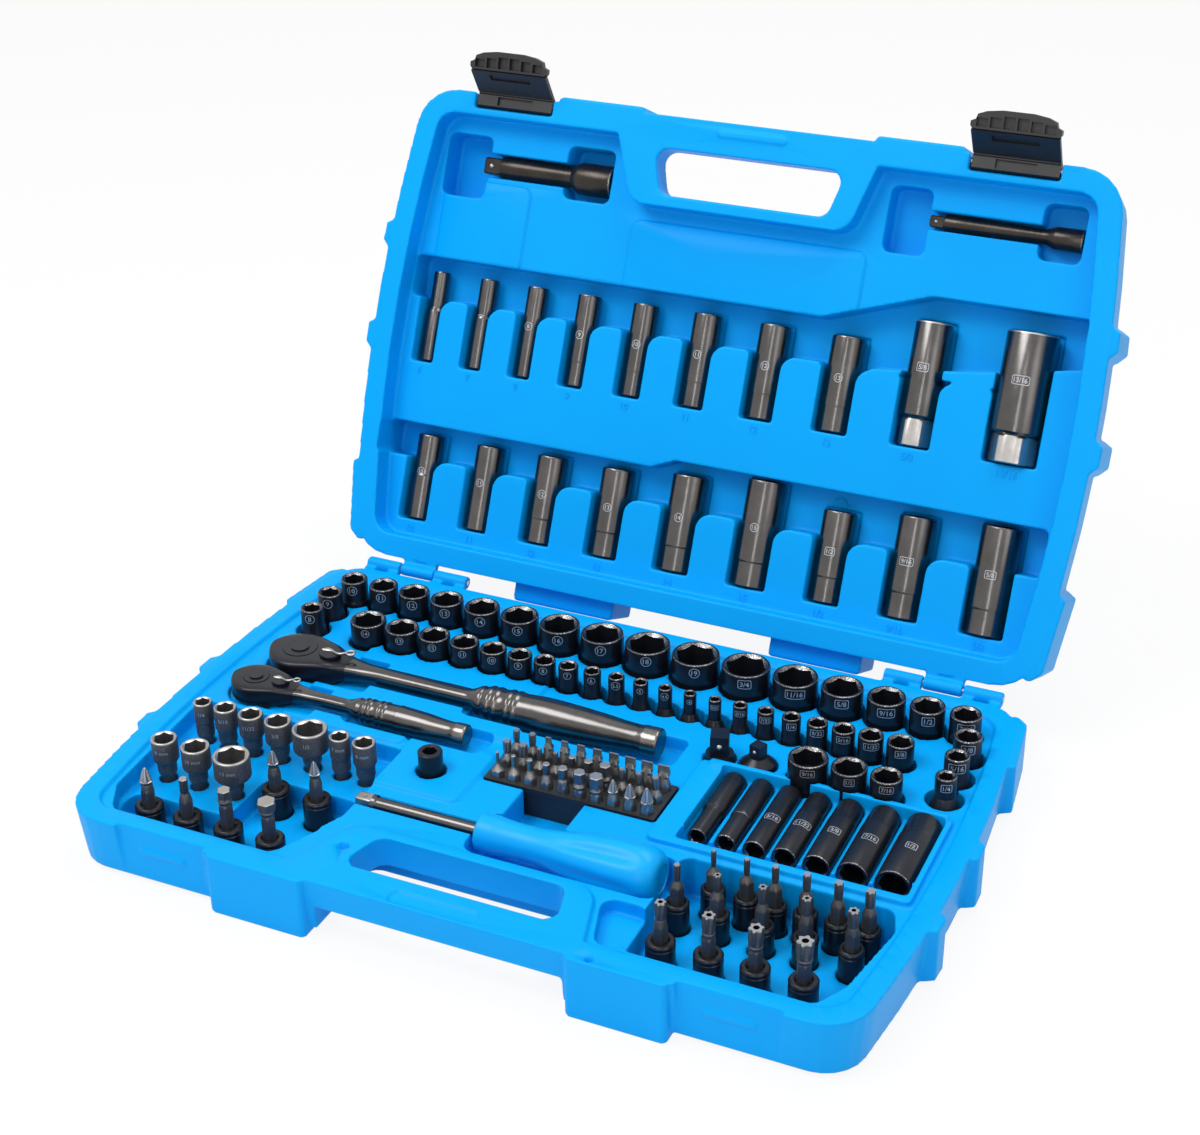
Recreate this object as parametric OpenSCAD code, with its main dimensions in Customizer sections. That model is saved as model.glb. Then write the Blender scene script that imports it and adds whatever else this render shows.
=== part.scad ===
// Socket wrench set in a blow-moulded case: two double-walled halves on a pinned hinge,
// two latches, two ratchets, and the tools that lie or stand in the pockets.
// Both halves are drawn lying open side up: x to the right, y towards the hinge, z = 0 at the rim.

/* [Case] */
// Width across each half at its hinge corners
case_w = 404; // [398:1:416]
// How far the long curved sides bulge past that width, each side
side_bulge = 11.5; // [8:0.5:13]
// Distance from the hinge axis to where the sides bulge most
bulge_at = 140; // [130:1:150]
// Depth from the hinge axis to the front face
case_d = 279; // [277:0.5:284]
// Height of the base from the table to its rim
base_h = 33; // [32.5:0.25:36]
// Height of the lid from its rim to its back
lid_h = 38; // [37.8:0.1:41]
// Radius of the case's corners in plan
corner_r = 24; // [22:1:30]
// How far the walls lean in from the rim to the floor
draft = 3; // [0:0.5:4]
// Thickness of the moulded walls
wall = 1.8; // [1.5:0.1:2]
// Distance from the hinge axis to the back wall of each half
back_gap = 6; // [5.6:0.1:7]
// Clearance between each rim and the closing plane
rim_gap = 0.2; // [0.15:0.05:0.4]
// How far the base's feet stand below its floor
foot_h = 2.5; // [1:0.1:2.6]
// How far the front feet stand out
pad_out = 3; // [2:0.25:4]
// How far the rear feet stand out past the hinge axis
stop_out = 5; // [4:0.25:6]
// Angle that the lid opens through
lid_open = 115; // [100:1:120]
// Depth of the lid's tray surface below its rim
lid_tray = 14; // [13.6:0.1:15]

/* [Handle opening] */
// Half width of the hand hole at its outer edge
hand_w_out = 56; // [50:1:58]
// Half width of the hand hole at its inner edge
hand_w_in = 49; // [44:1:49]
// Distance from the hinge axis to the hole's inner edge
hand_from = 235.5; // [234:0.5:238]
// Distance from the hinge axis to the hole's outer edge
hand_to = 261; // [256:0.5:263]

/* [Hinges and latches] */
// Where each hinge starts, from the middle of the case
hinge_from = 126; // [120:1:130]
// Length of one knuckle
knuckle_len = 21.5; // [18:0.5:23]
// Radius of the hinge barrels
barrel_r = 3.6; // [3.2:0.1:4.4]
// Radius of the hinge pins
pin_r = 1.5; // [1.2:0.1:1.8]
// Running clearance of pins, drives and levers, on the radius
run_gap = 0.05; // [0.03:0.01:0.09]
// Gap between moving faces
side_gap = 0.4; // [0.3:0.05:0.5]
// Where each latch starts, from the middle of the case
latch_from = 121.5; // [120:0.5:123]
// Width of each latch
latch_w = 49; // [44:0.5:50]
// Depth of the latch recess behind the front face
recess_in = 3; // [2.6:0.1:4]
// Depth of the latch pivot below the lid's rim
pivot_h = 5; // [4.8:0.1:6]
// Thickness of the latch plate
latch_t = 2.4; // [2:0.1:2.8]
// How far each latch stands open
latch_open = 35; // [30:1:50]

/* [Drives] */
// Square of the large drive
drive_large = 9.53; // [9.5:0.01:9.6]
// Square of the small drive
drive_small = 6.35; // [6.3:0.01:6.4]
// Across the flats of the screwdriver bits
bit_af = 6.35; // [6.3:0.01:6.4]

/* [Standing sockets] */
// Height of the large-drive sockets
large_h = 27; // [25:0.5:28]
// How far they stand above the tray
large_proud = 11.6; // [10:0.2:11.8]
// Height of the small-drive sockets
small_h = 25; // [23:0.5:26]
// How far they stand above the tray
small_proud = 11; // [9:0.2:11.8]
// Gap between neighbouring large-drive sockets
large_gap = 2.75; // [2.5:0.05:2.8]
// Gap between neighbouring small-drive sockets
small_gap = 2; // [1.7:0.05:2.1]
// Room around each standing socket in its pocket
pocket_gap = 1.5; // [0.8:0.1:1.6]

/* [Lying sockets] */
// Length of the small-drive deep sockets
deep_small_len = 53; // [50:0.5:55]
// Depth of the lid sockets' centre lines below the rim
lid_axis = 24; // [23.6:0.1:24.3]
// Room beside each lying socket in its pocket
lying_gap = 0.9; // [0.5:0.1:1.2]
// Length of the smaller spark plug socket
spark_small_len = 68; // [64:0.5:69]
// Length of the larger spark plug socket
spark_large_len = 70; // [66:0.5:71]

/* [Large ratchet] */
// Radius of the head
big_head_r = 17; // [16:0.25:17.5]
// Thickness of the head
big_head_t = 14; // [13:0.25:14.5]
// Length from the head's centre to the handle's end
big_len = 213; // [205:1:216]
// Radius of the grip
big_grip_r = 11; // [10:0.25:11.5]
// How far the head stands above the tray
big_proud = 7.5; // [6:0.25:8]

/* [Small ratchet] */
// Radius of the head
mini_head_r = 13.5; // [12.5:0.25:14]
// Thickness of the head
mini_head_t = 11; // [10.5:0.25:11.5]
// Length from the head's centre to the handle's end
mini_len = 126.5; // [118:1:127]
// Radius of the grip
mini_grip_r = 8.2; // [7.5:0.1:8.6]
// How far the head stands above the tray
mini_proud = 6.5; // [5:0.25:7]

/* [Screwdriver] */
// Largest radius of the grip
grip_r = 14.9; // [13.5:0.1:16]
// Length of the grip
grip_len = 95; // [90:1:99]
// Radius of the shaft
shaft_r = 3.5; // [3.3:0.1:4]
// Length of the shaft outside the grip
shaft_len = 68; // [64:1:70]
// Depth of the screwdriver's centre line below the rim
driver_axis = 4; // [3:0.1:6]

/* [Extension bars] */
// Length of the large bar
bar_large_len = 82; // [76:1:84]
// Length of the small bar
bar_small_len = 84; // [76:1:86]
// Depth of the bars' centre lines below the rim
bar_axis = 22; // [21:0.25:24]

/* [Bits and nutsetters] */
// Height of the nutsetters
setter_h = 40; // [38:0.5:41]
// Height of the bit sockets with their bits
bit_socket_h = 41; // [38:0.5:41.5]
// Height of the bit sockets' bodies
bit_body_h = 20; // [18:0.5:22]
// Depth of the sunken areas in which those stand
area_depth = 13; // [11:0.5:15]
// Depth of the lower floors around the bit sockets
bits_depth = 24.5; // [22:0.5:25]
// Depth of the holes that hold them
hole_depth = 29; // [28.5:0.1:29.2]
// Length of the loose bits
bit_len = 25; // [24:0.5:26]
// How far the loose bits stand out of the rail
bit_out = 14; // [12:0.5:15]
// Pitch of the bits along the rail
bit_pitch = 9; // [8.8:0.1:9.2]
// Pitch of the rail's three rows
row_pitch = 10.6; // [10:0.1:11]

/* [Hidden] */
$fn = 48;

inch = 25.4;
cut = 1; // how far a cutter runs past the face it starts from
hinge_y = case_d / 2; // the origin lies midway between the hinge axis and the front face
body_h = base_h - foot_h;
blue = [0.0, 0.55, 0.95];
black = [0.09, 0.09, 0.11];
gunmetal = [0.2, 0.19, 0.19];
steel = [0.62, 0.62, 0.62];
phosphate = [0.3, 0.29, 0.28];

// ---- plan helpers: points are [x, -distance from the hinge axis] ----

function unit(way) = way / norm(way);

// The arc that rounds the corner between two straight runs of an outline
function corner_arc(before, corner, after, radius, steps) =
    let (back = unit(before - corner), on = unit(after - corner),
         half = acos(back * on) / 2,
         centre = corner + unit(back + on) * radius / sin(half),
         first = corner + back * radius / tan(half) - centre,
         sweep = -sign(cross(back, on)) * (180 - 2 * half))
    [for (step = [0:steps]) let (turn = sweep * step / steps)
        centre + [first.x * cos(turn) - first.y * sin(turn), first.x * sin(turn) + first.y * cos(turn)]];

function rounded(points, radius, steps = 3) =
    [for (at = [0:len(points) - 1])
        each corner_arc(points[(at + len(points) - 1) % len(points)], points[at],
                        points[(at + 1) % len(points)], radius, steps)];

function block(left, right, back, front) =
    [[left, -back], [right, -back], [right, -front], [left, -front]];

// Where the curved side lies at a distance from the hinge axis, and how it leans there
function side_x(from_hinge) =
    case_w / 2 + side_bulge * (1 - pow((from_hinge - bulge_at) / bulge_at, 2));
function side_lean(from_hinge) = atan(2 * side_bulge * (from_hinge - bulge_at) / pow(bulge_at, 2));

function side_half(inset) =
    let (radius = corner_r - inset, back = back_gap + corner_r, front = case_d - corner_r,
         back_x = side_x(back) - corner_r, front_x = side_x(front) - corner_r, steps = 7)
    concat(
        [for (step = [0:5]) let (turn = 90 - (90 + side_lean(back)) * step / 5)
            [back_x + radius * cos(turn), -back + radius * sin(turn)]],
        [for (step = [1:steps - 1]) let (from_hinge = back + (front - back) * step / steps)
            [side_x(from_hinge) - inset, -from_hinge]],
        [for (step = [0:5]) let (turn = -side_lean(front) - (90 - side_lean(front)) * step / 5)
            [front_x + radius * cos(turn), -front + radius * sin(turn)]]);

// The case's outline in plan, moved inwards by an inset
function outline(inset = 0) =
    let (half = side_half(inset))
    concat(half, [for (at = [len(half) - 1:-1:0]) [-half[at].x, half[at].y]]);

// A pocket cut down from the rim, or with grow set, the moulded cup around it
module sunk(depth, grow) translate([0, 0, -depth - grow])
    linear_extrude(depth + grow + (grow > 0 ? -rim_gap : raised_h + cut))
        children();

module patch(left, right, back, front, radius, grow = 0)
    polygon(rounded(block(left - grow, right + grow, back - grow, front + grow), radius + grow / 2));

module in_base() translate([0, hinge_y, base_h]) children();

module in_lid() translate([0, hinge_y, base_h]) rotate([-lid_open, 0, 0]) mirror([0, 0, 1]) children();

// ---- sizes of the sockets ----

function large_od(size) = 1.2 * size + 3.2;
function small_od(size) = 1.32 * size + 1.5;
large_base = 16.5; // diameter of a large-drive socket's drive end
small_base = 12;
function large_r(size) = max(large_base, large_od(size)) / 2;
function small_r(size) = max(small_base, small_od(size)) / 2;

// Centre of one socket in a row that starts at a place and keeps a gap between neighbours
function chain(radii, which, start, gap) =
    which == 0 ? start : chain(radii, which - 1, start, gap) + radii[which - 1] + gap + radii[which];

large_metric = [10, 11, 12, 13, 14, 15, 16, 17, 18, 19];
large_inch = [for (part = [12, 11, 10, 9, 8, 7]) part * inch / 16];
large_row = concat(large_metric, large_inch);
large_radii = [for (size = large_row) large_r(size)];
large_start = -178.5;
large_from = 38.5;
left_column = [9, 8];
left_column_x = -183;
left_column_from = 57.5;
right_column = [for (part = [6, 5, 4]) part * inch / 16];
right_column_x = 187.9;
right_column_from = 57.5;
column_pitch = large_base + large_gap;

small_metric = [14, 13, 12, 11, 10, 9, 8, 7, 6, 5.5, 5, 4.5, 4];
small_inch = [for (part = [5, 6, 7, 8, 9, 10, 11, 12]) part * inch / 32];
small_row = concat(small_metric, small_inch);
small_radii = [for (size = small_row) small_r(size)];
small_start = -148;
small_from = 75;
third_row = [for (part = [9, 8, 7]) part * inch / 16];
third_radii = [for (size = third_row) small_r(size)];
third_start = 120.5;
third_from = 106.5;
strip = 4; // half width of the strip that joins a row's pockets

function large_x(which) = chain(large_radii, which, large_start, large_gap);
function small_x(which) = chain(small_radii, which, small_start, small_gap);
function third_x(which) = chain(third_radii, which, third_start, small_gap);

// One socket standing on its drive end at z = 0
module socket(size, height, outer, base, base_len, drive, hex_depth, fit = 0.3) {
    bevel = 0.6;
    slope = abs(base - outer) / 2;
    corner = size / sqrt(3) + fit / 2;
    difference() {
        rotate_extrude()
            polygon([[0, 0], [base / 2 - bevel, 0], [base / 2, bevel], [base / 2, base_len],
                     [outer / 2, base_len + max(slope, 0.2)], [outer / 2, height - bevel],
                     [outer / 2 - bevel, height], [0, height]]);
        translate([0, 0, height - hex_depth]) rotate(30)
            cylinder(h = hex_depth + cut, r = corner, $fn = 6);
        translate([0, 0, height - bevel])
            cylinder(h = bevel + cut, r1 = size / 2, r2 = size / 2 + bevel + cut + 0.3);
        translate([0, 0, (drive + 1.5) / 2 - cut / 2])
            cube([drive + 0.15, drive + 0.15, drive + 1.5 + cut], center = true);
        translate([0, 0, drive / 2])
            cylinder(h = height - hex_depth, r = min(drive, size) * 0.42);
    }
}

module large_socket(size) socket(size, large_h, large_od(size), max(large_base, large_od(size) - 0.6),
       size < 10 ? 9 : 14, drive_large, min(size * 0.75, large_h - drive_large - 4));

module small_socket(size) socket(size, small_h, small_od(size), max(small_base, small_od(size) - 0.5),
       small_od(size) < small_base ? 6 : 12, drive_small, min(size * 0.8, 10));

large_depth = large_h - large_proud;
small_depth = small_h - small_proud;

module large_places(first, last) for (which = [first:last])
    translate([large_x(which), -large_from, -large_depth]) large_socket(large_row[which]);

module small_places(first, last) for (which = [first:last])
    translate([small_x(which), -small_from, -small_depth]) small_socket(small_row[which]);

module column_places(sizes, column_x, from_hinge) for (which = [0:len(sizes) - 1])
    translate([column_x, -from_hinge - which * column_pitch, -large_depth])
        large_socket(sizes[which]);

module sockets_large_metric() {
    color(black) in_base() {
        large_places(0, len(large_metric) - 1);
        column_places(left_column, left_column_x, left_column_from);
    }
}

module sockets_large_inch() {
    color(black) in_base() {
        large_places(len(large_metric), len(large_row) - 1);
        column_places(right_column, right_column_x, right_column_from);
    }
}

module sockets_small_metric() color(black) in_base() small_places(0, len(small_metric) - 1);

module sockets_small_inch() {
    color(black) in_base() {
        small_places(len(small_metric), len(small_row) - 1);
        for (which = [0:len(third_row) - 1])
            translate([third_x(which), -third_from, -small_depth]) small_socket(third_row[which]);
    }
}

// Pockets of the standing sockets, with a strip that joins them into one scalloped trough
module large_pockets(grow) {
    room = pocket_gap + grow;
    sunk(large_depth, grow) {
        for (which = [0:len(large_row) - 1])
            translate([large_x(which), -large_from]) circle(large_radii[which] + room);
        polygon(block(large_x(0), large_x(len(large_row) - 1), large_from - strip - grow,
                      large_from + strip + grow));
        for (which = [0:len(left_column) - 1])
            translate([left_column_x, -left_column_from - which * column_pitch])
                circle(large_base / 2 + room);
        for (which = [0:len(right_column) - 1])
            translate([right_column_x, -right_column_from - which * column_pitch])
                circle(large_base / 2 + room);
        polygon(block(left_column_x - strip, left_column_x + strip, large_from,
                      left_column_from + (len(left_column) - 1) * column_pitch));
        polygon(block(right_column_x - strip, right_column_x + strip, right_column_from,
                      right_column_from + (len(right_column) - 1) * column_pitch));
    }
}

module small_pockets(grow) {
    room = pocket_gap + grow;
    sunk(small_depth, grow) {
        for (which = [0:len(small_row) - 1])
            translate([small_x(which), -small_from]) circle(small_radii[which] + room);
        polygon(block(small_x(0), small_x(len(small_row) - 1), small_from - strip - grow,
                      small_from + strip + grow));
        for (which = [0:len(third_row) - 1])
            translate([third_x(which), -third_from]) circle(third_radii[which] + room);
        polygon(block(third_x(0), third_x(len(third_row) - 1), third_from - strip - grow,
                      third_from + strip + grow));
    }
}

// ---- deep sockets that lie in the right-hand tray pocket and in the lid ----

tray_deep = [for (part = [8, 9, 10, 11, 12, 14, 16]) part * inch / 32];
tray_deep_radii = [for (size = tray_deep) small_r(size)];
deep_end_long = 30; // the drive ends of the smaller and the larger deep sockets
deep_end_short = 14;
large_end_long = 26;
tray_deep_start = 87;
tray_deep_gap = 2.6;
tray_deep_from = 118.3;
tray_deep_len = 51.5;
tray_axis = 5.5; // depth of their centre lines
tray_room = 11; // finger room past their open ends
raised_h = 3; // height of the raised panels
seat_gap = 0.15; // under each lying tool

lid_small = [6, 7, 8, 9, 10, 11, 12, 13];
lid_metric = [10, 11, 12, 13, 14, 15];
lid_metric_lens = [50, 50, 51, 51, 55, 60];
lid_inch = [for (part = [8, 9, 10]) part * inch / 16];
lid_inch_lens = [51, 56, 59];
lid_lower = concat(lid_metric, lid_inch);
lid_lower_lens = concat(lid_metric_lens, lid_inch_lens);
lid_upper_from = 122;
lid_lower_from = 29;
spark_small_r = 10.2;
spark_large_r = 14;
lid_upper_radii = concat([for (size = lid_small) small_r(size)], [spark_small_r, spark_large_r]);
lid_lower_radii = [for (size = lid_lower) large_r(size)];
upper_start = -186;
upper_spread = 1.9;
upper_gap = 8.8;
lower_start = -176;
lower_spread = 1.5;
lower_gap = 14.7;

function spread_x(radii, which, start, spread, gap) =
    chain([for (radius = radii) radius * spread], which, start, gap);
function upper_x(which) = spread_x(lid_upper_radii, which, upper_start, upper_spread, upper_gap);
function lower_x(which) = spread_x(lid_lower_radii, which, lower_start, lower_spread, lower_gap);
// A lid socket's centre line, raised where a large one would meet the lid's back
function lid_axis_of(radius) = min(lid_axis, lid_h - 2 * wall - seat_gap - 0.2 - radius);

// Lays a tool's axis along the pocket, from its drive end towards the front
module lying(x, from_hinge, depth) translate([x, -from_hinge, -depth]) rotate([90, 0, 0]) children();

module deep_small_socket(size, height = deep_small_len)
    socket(size, height, small_od(size), max(small_base, small_od(size) - 0.5),
           small_od(size) < small_base ? deep_end_long : deep_end_short, drive_small, size * 1.2);

module deep_large_socket(size, height)
    socket(size, height, large_od(size), max(large_base, large_od(size) - 0.5),
           size < 12 ? large_end_long : deep_end_short, drive_large, size * 1.2);

module deep_sockets_tray() color(black) in_base()
    for (which = [0:len(tray_deep) - 1])
        lying(chain(tray_deep_radii, which, tray_deep_start, tray_deep_gap), tray_deep_from, tray_axis)
            deep_small_socket(tray_deep[which], tray_deep_len);

module deep_sockets_lid_small() color(gunmetal) in_lid()
    for (which = [0:len(lid_small) - 1])
        lying(upper_x(which), lid_upper_from, lid_axis_of(lid_upper_radii[which]))
            deep_small_socket(lid_small[which]);

module lower_sockets(first, last) for (which = [first:last])
    lying(lower_x(which), lid_lower_from, lid_axis_of(lid_lower_radii[which]))
        deep_large_socket(lid_lower[which], lid_lower_lens[which]);

module deep_sockets_lid_metric() color(gunmetal) in_lid() lower_sockets(0, len(lid_metric) - 1);

module deep_sockets_lid_inch()
    color(gunmetal) in_lid() lower_sockets(len(lid_metric), len(lid_lower) - 1);

spark_lens = [spark_small_len, spark_large_len];
spark_sizes = [10 * inch / 16, 13 * inch / 16];
spark_radii = [spark_small_r, spark_large_r];
spark_hex_h = 15; // height of the hexagon at the drive end
insert_depth = 22; // from the open end to the rubber insert
insert_len = 12;
insert_wall = 2;

module spark_place(which)
    lying(upper_x(len(lid_small) + which), lid_upper_from, lid_axis_of(spark_radii[which])) children();

module spark_socket(size, height, outer_r) {
    hex_r = outer_r * 0.92;
    difference() {
        union() {
            rotate_extrude()
                polygon([[0, spark_hex_h], [hex_r * 0.85, spark_hex_h], [outer_r, spark_hex_h + 2],
                         [outer_r, height - 1], [outer_r - 1, height], [0, height]]);
            cylinder(h = spark_hex_h + cut, r = hex_r, $fn = 6);
        }
        translate([0, 0, -cut]) translate([-drive_large / 2, -drive_large / 2, 0])
            cube([drive_large + 0.1, drive_large + 0.1, drive_large + 2]);
        translate([0, 0, drive_large / 2])
            cylinder(h = height, r = drive_large * 0.42);
        translate([0, 0, spark_hex_h + 3])
            cylinder(h = height, r = size / 2 + 0.2);
        translate([0, 0, height - insert_depth])
            cylinder(h = insert_depth + cut, r = size / sqrt(3) + 0.15, $fn = 6);
    }
}

module spark_sockets() color(gunmetal) in_lid() for (which = [0, 1])
    spark_place(which) spark_socket(spark_sizes[which], spark_lens[which], spark_radii[which]);

module spark_insert(size, height) {
    translate([0, 0, height - insert_depth - insert_len]) difference() {
        cylinder(h = insert_len, r = size / 2 + 0.2 - run_gap);
        translate([0, 0, -cut]) cylinder(h = insert_len + 2 * cut, r = size / 2 - insert_wall);
    }
}

module spark_inserts() color([0.08, 0.08, 0.08]) in_lid() for (which = [0, 1])
    spark_place(which) spark_insert(spark_sizes[which], spark_lens[which]);

// ---- extension bars ----

bar_large_x = -167;
bar_large_from = case_d - 39;
bar_large_r = 6;
bar_large_end_r = 9.2;
bar_large_end = 23;
bar_small_x = 101;
bar_small_from = case_d - 36;
bar_small_r = 4.3;
bar_small_end_r = 6.2;
bar_small_end = 17;
large_ball_r = 1.7;
small_ball_r = 1.2;

// A bar along x: the male square first, then the shank and the female end
module bar(drive, length, shank_r, end_r, end_len, male_len, ball_r) {
    difference() {
        union() {
            translate([0, -drive / 2, -drive / 2]) cube([male_len + cut, drive, drive]);
            rotate([0, 90, 0]) rotate_extrude()
                polygon([[0, male_len], [drive / 2 + 0.6, male_len], [shank_r, male_len + 3],
                         [shank_r, length - end_len - 4], [end_r, length - end_len],
                         [end_r, length - 0.8], [end_r - 0.8, length], [0, length]]);
        }
        translate([length - drive - 1.5, -drive / 2 - 0.1, -drive / 2 - 0.1])
            cube([drive + 1.5 + cut, drive + 0.2, drive + 0.2]);
        ball_place(drive, male_len, ball_r) sphere(r = ball_r + run_gap);
    }
}

// Centre of the detent ball, sunk so that a third of it stands out of the square's upper face
module ball_place(drive, male_len, ball_r)
    translate([male_len * 0.45, 0, drive / 2 - ball_r * 0.4]) children();

bar_large_male = 11;
bar_small_male = 8.5;

module bar_large_place()
    color(black) in_lid() translate([bar_large_x, -bar_large_from, -bar_axis]) children();

module bar_small_place()
    color(black) in_lid() translate([bar_small_x, -bar_small_from, -bar_axis]) children();

module extension_large()
    bar_large_place() bar(drive_large, bar_large_len, bar_large_r, bar_large_end_r, bar_large_end,
                          bar_large_male, large_ball_r);

module extension_large_ball()
    bar_large_place() ball_place(drive_large, bar_large_male, large_ball_r) sphere(r = large_ball_r);

module extension_small()
    bar_small_place() bar(drive_small, bar_small_len, bar_small_r, bar_small_end_r, bar_small_end,
                          bar_small_male, small_ball_r);

module extension_small_ball()
    bar_small_place() ball_place(drive_small, bar_small_male, small_ball_r) sphere(r = small_ball_r);

// ---- ratchets, the large and the small: x along the handle from the head's centre, z = 0 at its top ----

ratchet_x = [-170, -176.6];
ratchet_from = [110.6, 143.9];
proud = [big_proud, mini_proud];
head_rs = [big_head_r, mini_head_r];
head_ts = [big_head_t, mini_head_t];
ratchet_lens = [big_len, mini_len];
grip_rs = [big_grip_r, mini_grip_r];
grip_froms = [112, 64];
shank_rs = [6, 4.4];
drives = [drive_large, drive_small];
anvils = [11, 8];
balls = [large_ball_r, small_ball_r];
skin = 2.2; // thickness of the head over the gear
cover_t = 1.6;
cover_edge = 0.8;
head_rim = 3.4; // wall of the head around the gear
teeth = 36;
tooth_h = 1;
button_travel = 1.5;
screw_r = 1.2;
screw_head_r = 2;
stem_r = 1.3;

function gear_r(head_r) = head_r - head_rim;
function boss_r(head_r) = gear_r(head_r) * 0.68;
function button_r(head_r) = gear_r(head_r) * 0.36;
function pawl_x(head_r) = head_r * 1.12;
function chamber_r(head_r) = head_r * 0.47;
function ear_y(head_r) = head_r * 0.66; // the cover's screws
function lever_pin_r(head_r) = head_r * 0.17;
function hub_r(which) = drives[which] * 0.78;

module ratchet_place(which)
    in_base() translate([ratchet_x[which], -ratchet_from[which], proud[which]]) children();

module screw_places(head_r, low)
    for (side = [-1, 1]) translate([head_r * 0.78, side * ear_y(head_r), low]) children();

module cover_shape(head_r, room = 0) {
    circle(gear_r(head_r) + 1.6 + room);
    translate([pawl_x(head_r), 0]) circle(chamber_r(head_r) + 1 + room);
    screw_places(head_r, 0) circle(screw_head_r + cover_edge + room);
}

module ratchet_body(which) {
    head_r = head_rs[which];
    head_t = head_ts[which];
    handle_r = grip_rs[which];
    shank_r = shank_rs[which];
    grip_from = grip_froms[which];
    length = ratchet_lens[which];
    neck = head_r * 2.3;
    band = handle_r * 0.8;
    ring = handle_r * 0.16;
    knob = length - 13;
    middle = grip_from + (knob - grip_from) * 0.45;
    tangent = 18;
    difference() {
        union() {
            translate([0, 0, -head_t]) cylinder(h = head_t, r = head_r);
            translate([0, 0, -head_t]) linear_extrude(head_t)
                polygon([[head_r * sin(tangent), head_r * cos(tangent)], [neck, shank_r],
                         [neck, -shank_r], [head_r * sin(tangent), -head_r * cos(tangent)]]);
            translate([0, 0, -head_t / 2]) rotate([0, 90, 0]) rotate_extrude()
                polygon([[0, neck - 6], [head_t * 0.4, neck - 6], [shank_r, neck + 6],
                         [shank_r, grip_from - 6], [handle_r * 0.78, grip_from],
                         for (turn = [0:2]) each [
                             [band, grip_from + 3 + turn * 5], [band + ring, grip_from + 4 + turn * 5],
                             [band + ring, grip_from + 6 + turn * 5], [band, grip_from + 7 + turn * 5]],
                         [handle_r * 0.9, grip_from + 20], [handle_r, middle],
                         [handle_r * 0.97, middle + (knob - middle) * 0.4], [handle_r * 0.72, knob],
                         [band, knob + 3], [band, length - 1], [band - 1, length], [0, length]]);
        }
        bore(0, gear_r(head_r), -head_t - cut, -skin);
        bore(0, boss_r(head_r) + run_gap, -skin - cut, cut);
        bore(pawl_x(head_r), chamber_r(head_r), -head_t - cut, -skin);
        bore(pawl_x(head_r), lever_pin_r(head_r) + run_gap, -skin - cut, cut);
        translate([0, 0, -head_t - cut]) linear_extrude(cover_t + cut) cover_shape(head_r, 0.1);
        screw_places(head_r, 0) bore(0, screw_r + run_gap, -head_t - cut, -skin - cut);
    }
}

// An upright cylinder between two heights
module bore(x, radius, low, high)
    translate([x, 0, low]) cylinder(h = high - low, r = radius);

module ratchet_cover(which) {
    head_r = head_rs[which];
    translate([0, 0, -head_ts[which]]) difference() {
        linear_extrude(cover_t) cover_shape(head_r);
        bore(0, hub_r(which) + run_gap, -cut, cover_t + cut);
        screw_places(head_r, 0) {
            bore(0, screw_r + run_gap, -cut, cover_t + cut);
            bore(0, screw_head_r + run_gap, -cut, 0.8);
        }
    }
}

module ratchet_screws(which)
    screw_places(head_rs[which], -head_ts[which]) {
        bore(0, screw_r, 0, head_ts[which] - skin - 2);
        bore(0, screw_head_r, 0, 0.8);
    }

module gear_outline(tip) {
    root = tip - tooth_h;
    polygon([for (tooth = [0:teeth - 1]) let (turn = 360 * tooth / teeth, on = turn + 180 / teeth)
        each [[tip * cos(turn), tip * sin(turn)], [root * cos(on), root * sin(on)]]]);
}

module ratchet_drive(which) {
    head_r = head_rs[which];
    head_t = head_ts[which];
    drive = drives[which];
    anvil_len = anvils[which];
    gear_top = -skin - 0.1;
    gear_bottom = -head_t + cover_t + 0.1;
    difference() {
        union() {
            translate([0, 0, gear_bottom]) linear_extrude(gear_top - gear_bottom)
                gear_outline(gear_r(head_r) - run_gap);
            bore(0, boss_r(head_r), gear_top - cut, 0);
            bore(0, hub_r(which), -head_t - 0.6, -head_t + cover_t + 0.6);
            translate([-drive / 2, -drive / 2, -head_t - anvil_len]) cube([drive, drive, anvil_len]);
        }
        bore(0, button_r(head_r) + run_gap, -button_travel - 1.2, cut);
        bore(0, stem_r + run_gap, -head_t - anvil_len * 0.7, 0);
        anvil_ball_place(which) sphere(r = balls[which] + run_gap);
    }
}

module anvil_ball_place(which)
    translate([0, -drives[which] / 2 + balls[which] * 0.4, -head_ts[which] - anvils[which] * 0.6])
        children();

module ratchet_button(which) {
    bore(0, button_r(head_rs[which]), -1.2, 0.7);
    bore(0, stem_r, -head_ts[which] - anvils[which] * 0.6 + balls[which] + button_travel + 0.4, -0.6);
}

module ratchet_lever(which) {
    head_r = head_rs[which];
    disc_r = head_r * 0.34;
    bore(pawl_x(head_r), disc_r, 0.15, 2.15);
    bore(pawl_x(head_r), lever_pin_r(head_r), -head_ts[which] * 0.55, 1);
    translate([pawl_x(head_r), 0, 0.15]) rotate(-150) linear_extrude(2.6)
        polygon([[0, disc_r * 0.8], [disc_r * 2, disc_r * 0.45], [disc_r * 2.1, 0],
                 [disc_r * 2, -disc_r * 0.45], [0, -disc_r * 0.8]]);
}

module ratchet_pawl(which) {
    head_r = head_rs[which];
    low = -head_ts[which] + cover_t + 0.1;
    difference() {
        bore(pawl_x(head_r), chamber_r(head_r) - 0.1, low, -skin - 0.3);
        bore(0, gear_r(head_r) + 0.3, low - cut, cut);
        bore(pawl_x(head_r), lever_pin_r(head_r) + 0.3, low - cut, cut);
        translate([pawl_x(head_r), -head_r, low - cut]) cube([head_r, 2 * head_r, -low]);
    }
}

module ratchet_ball(which) anvil_ball_place(which) sphere(r = balls[which]);

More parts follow.
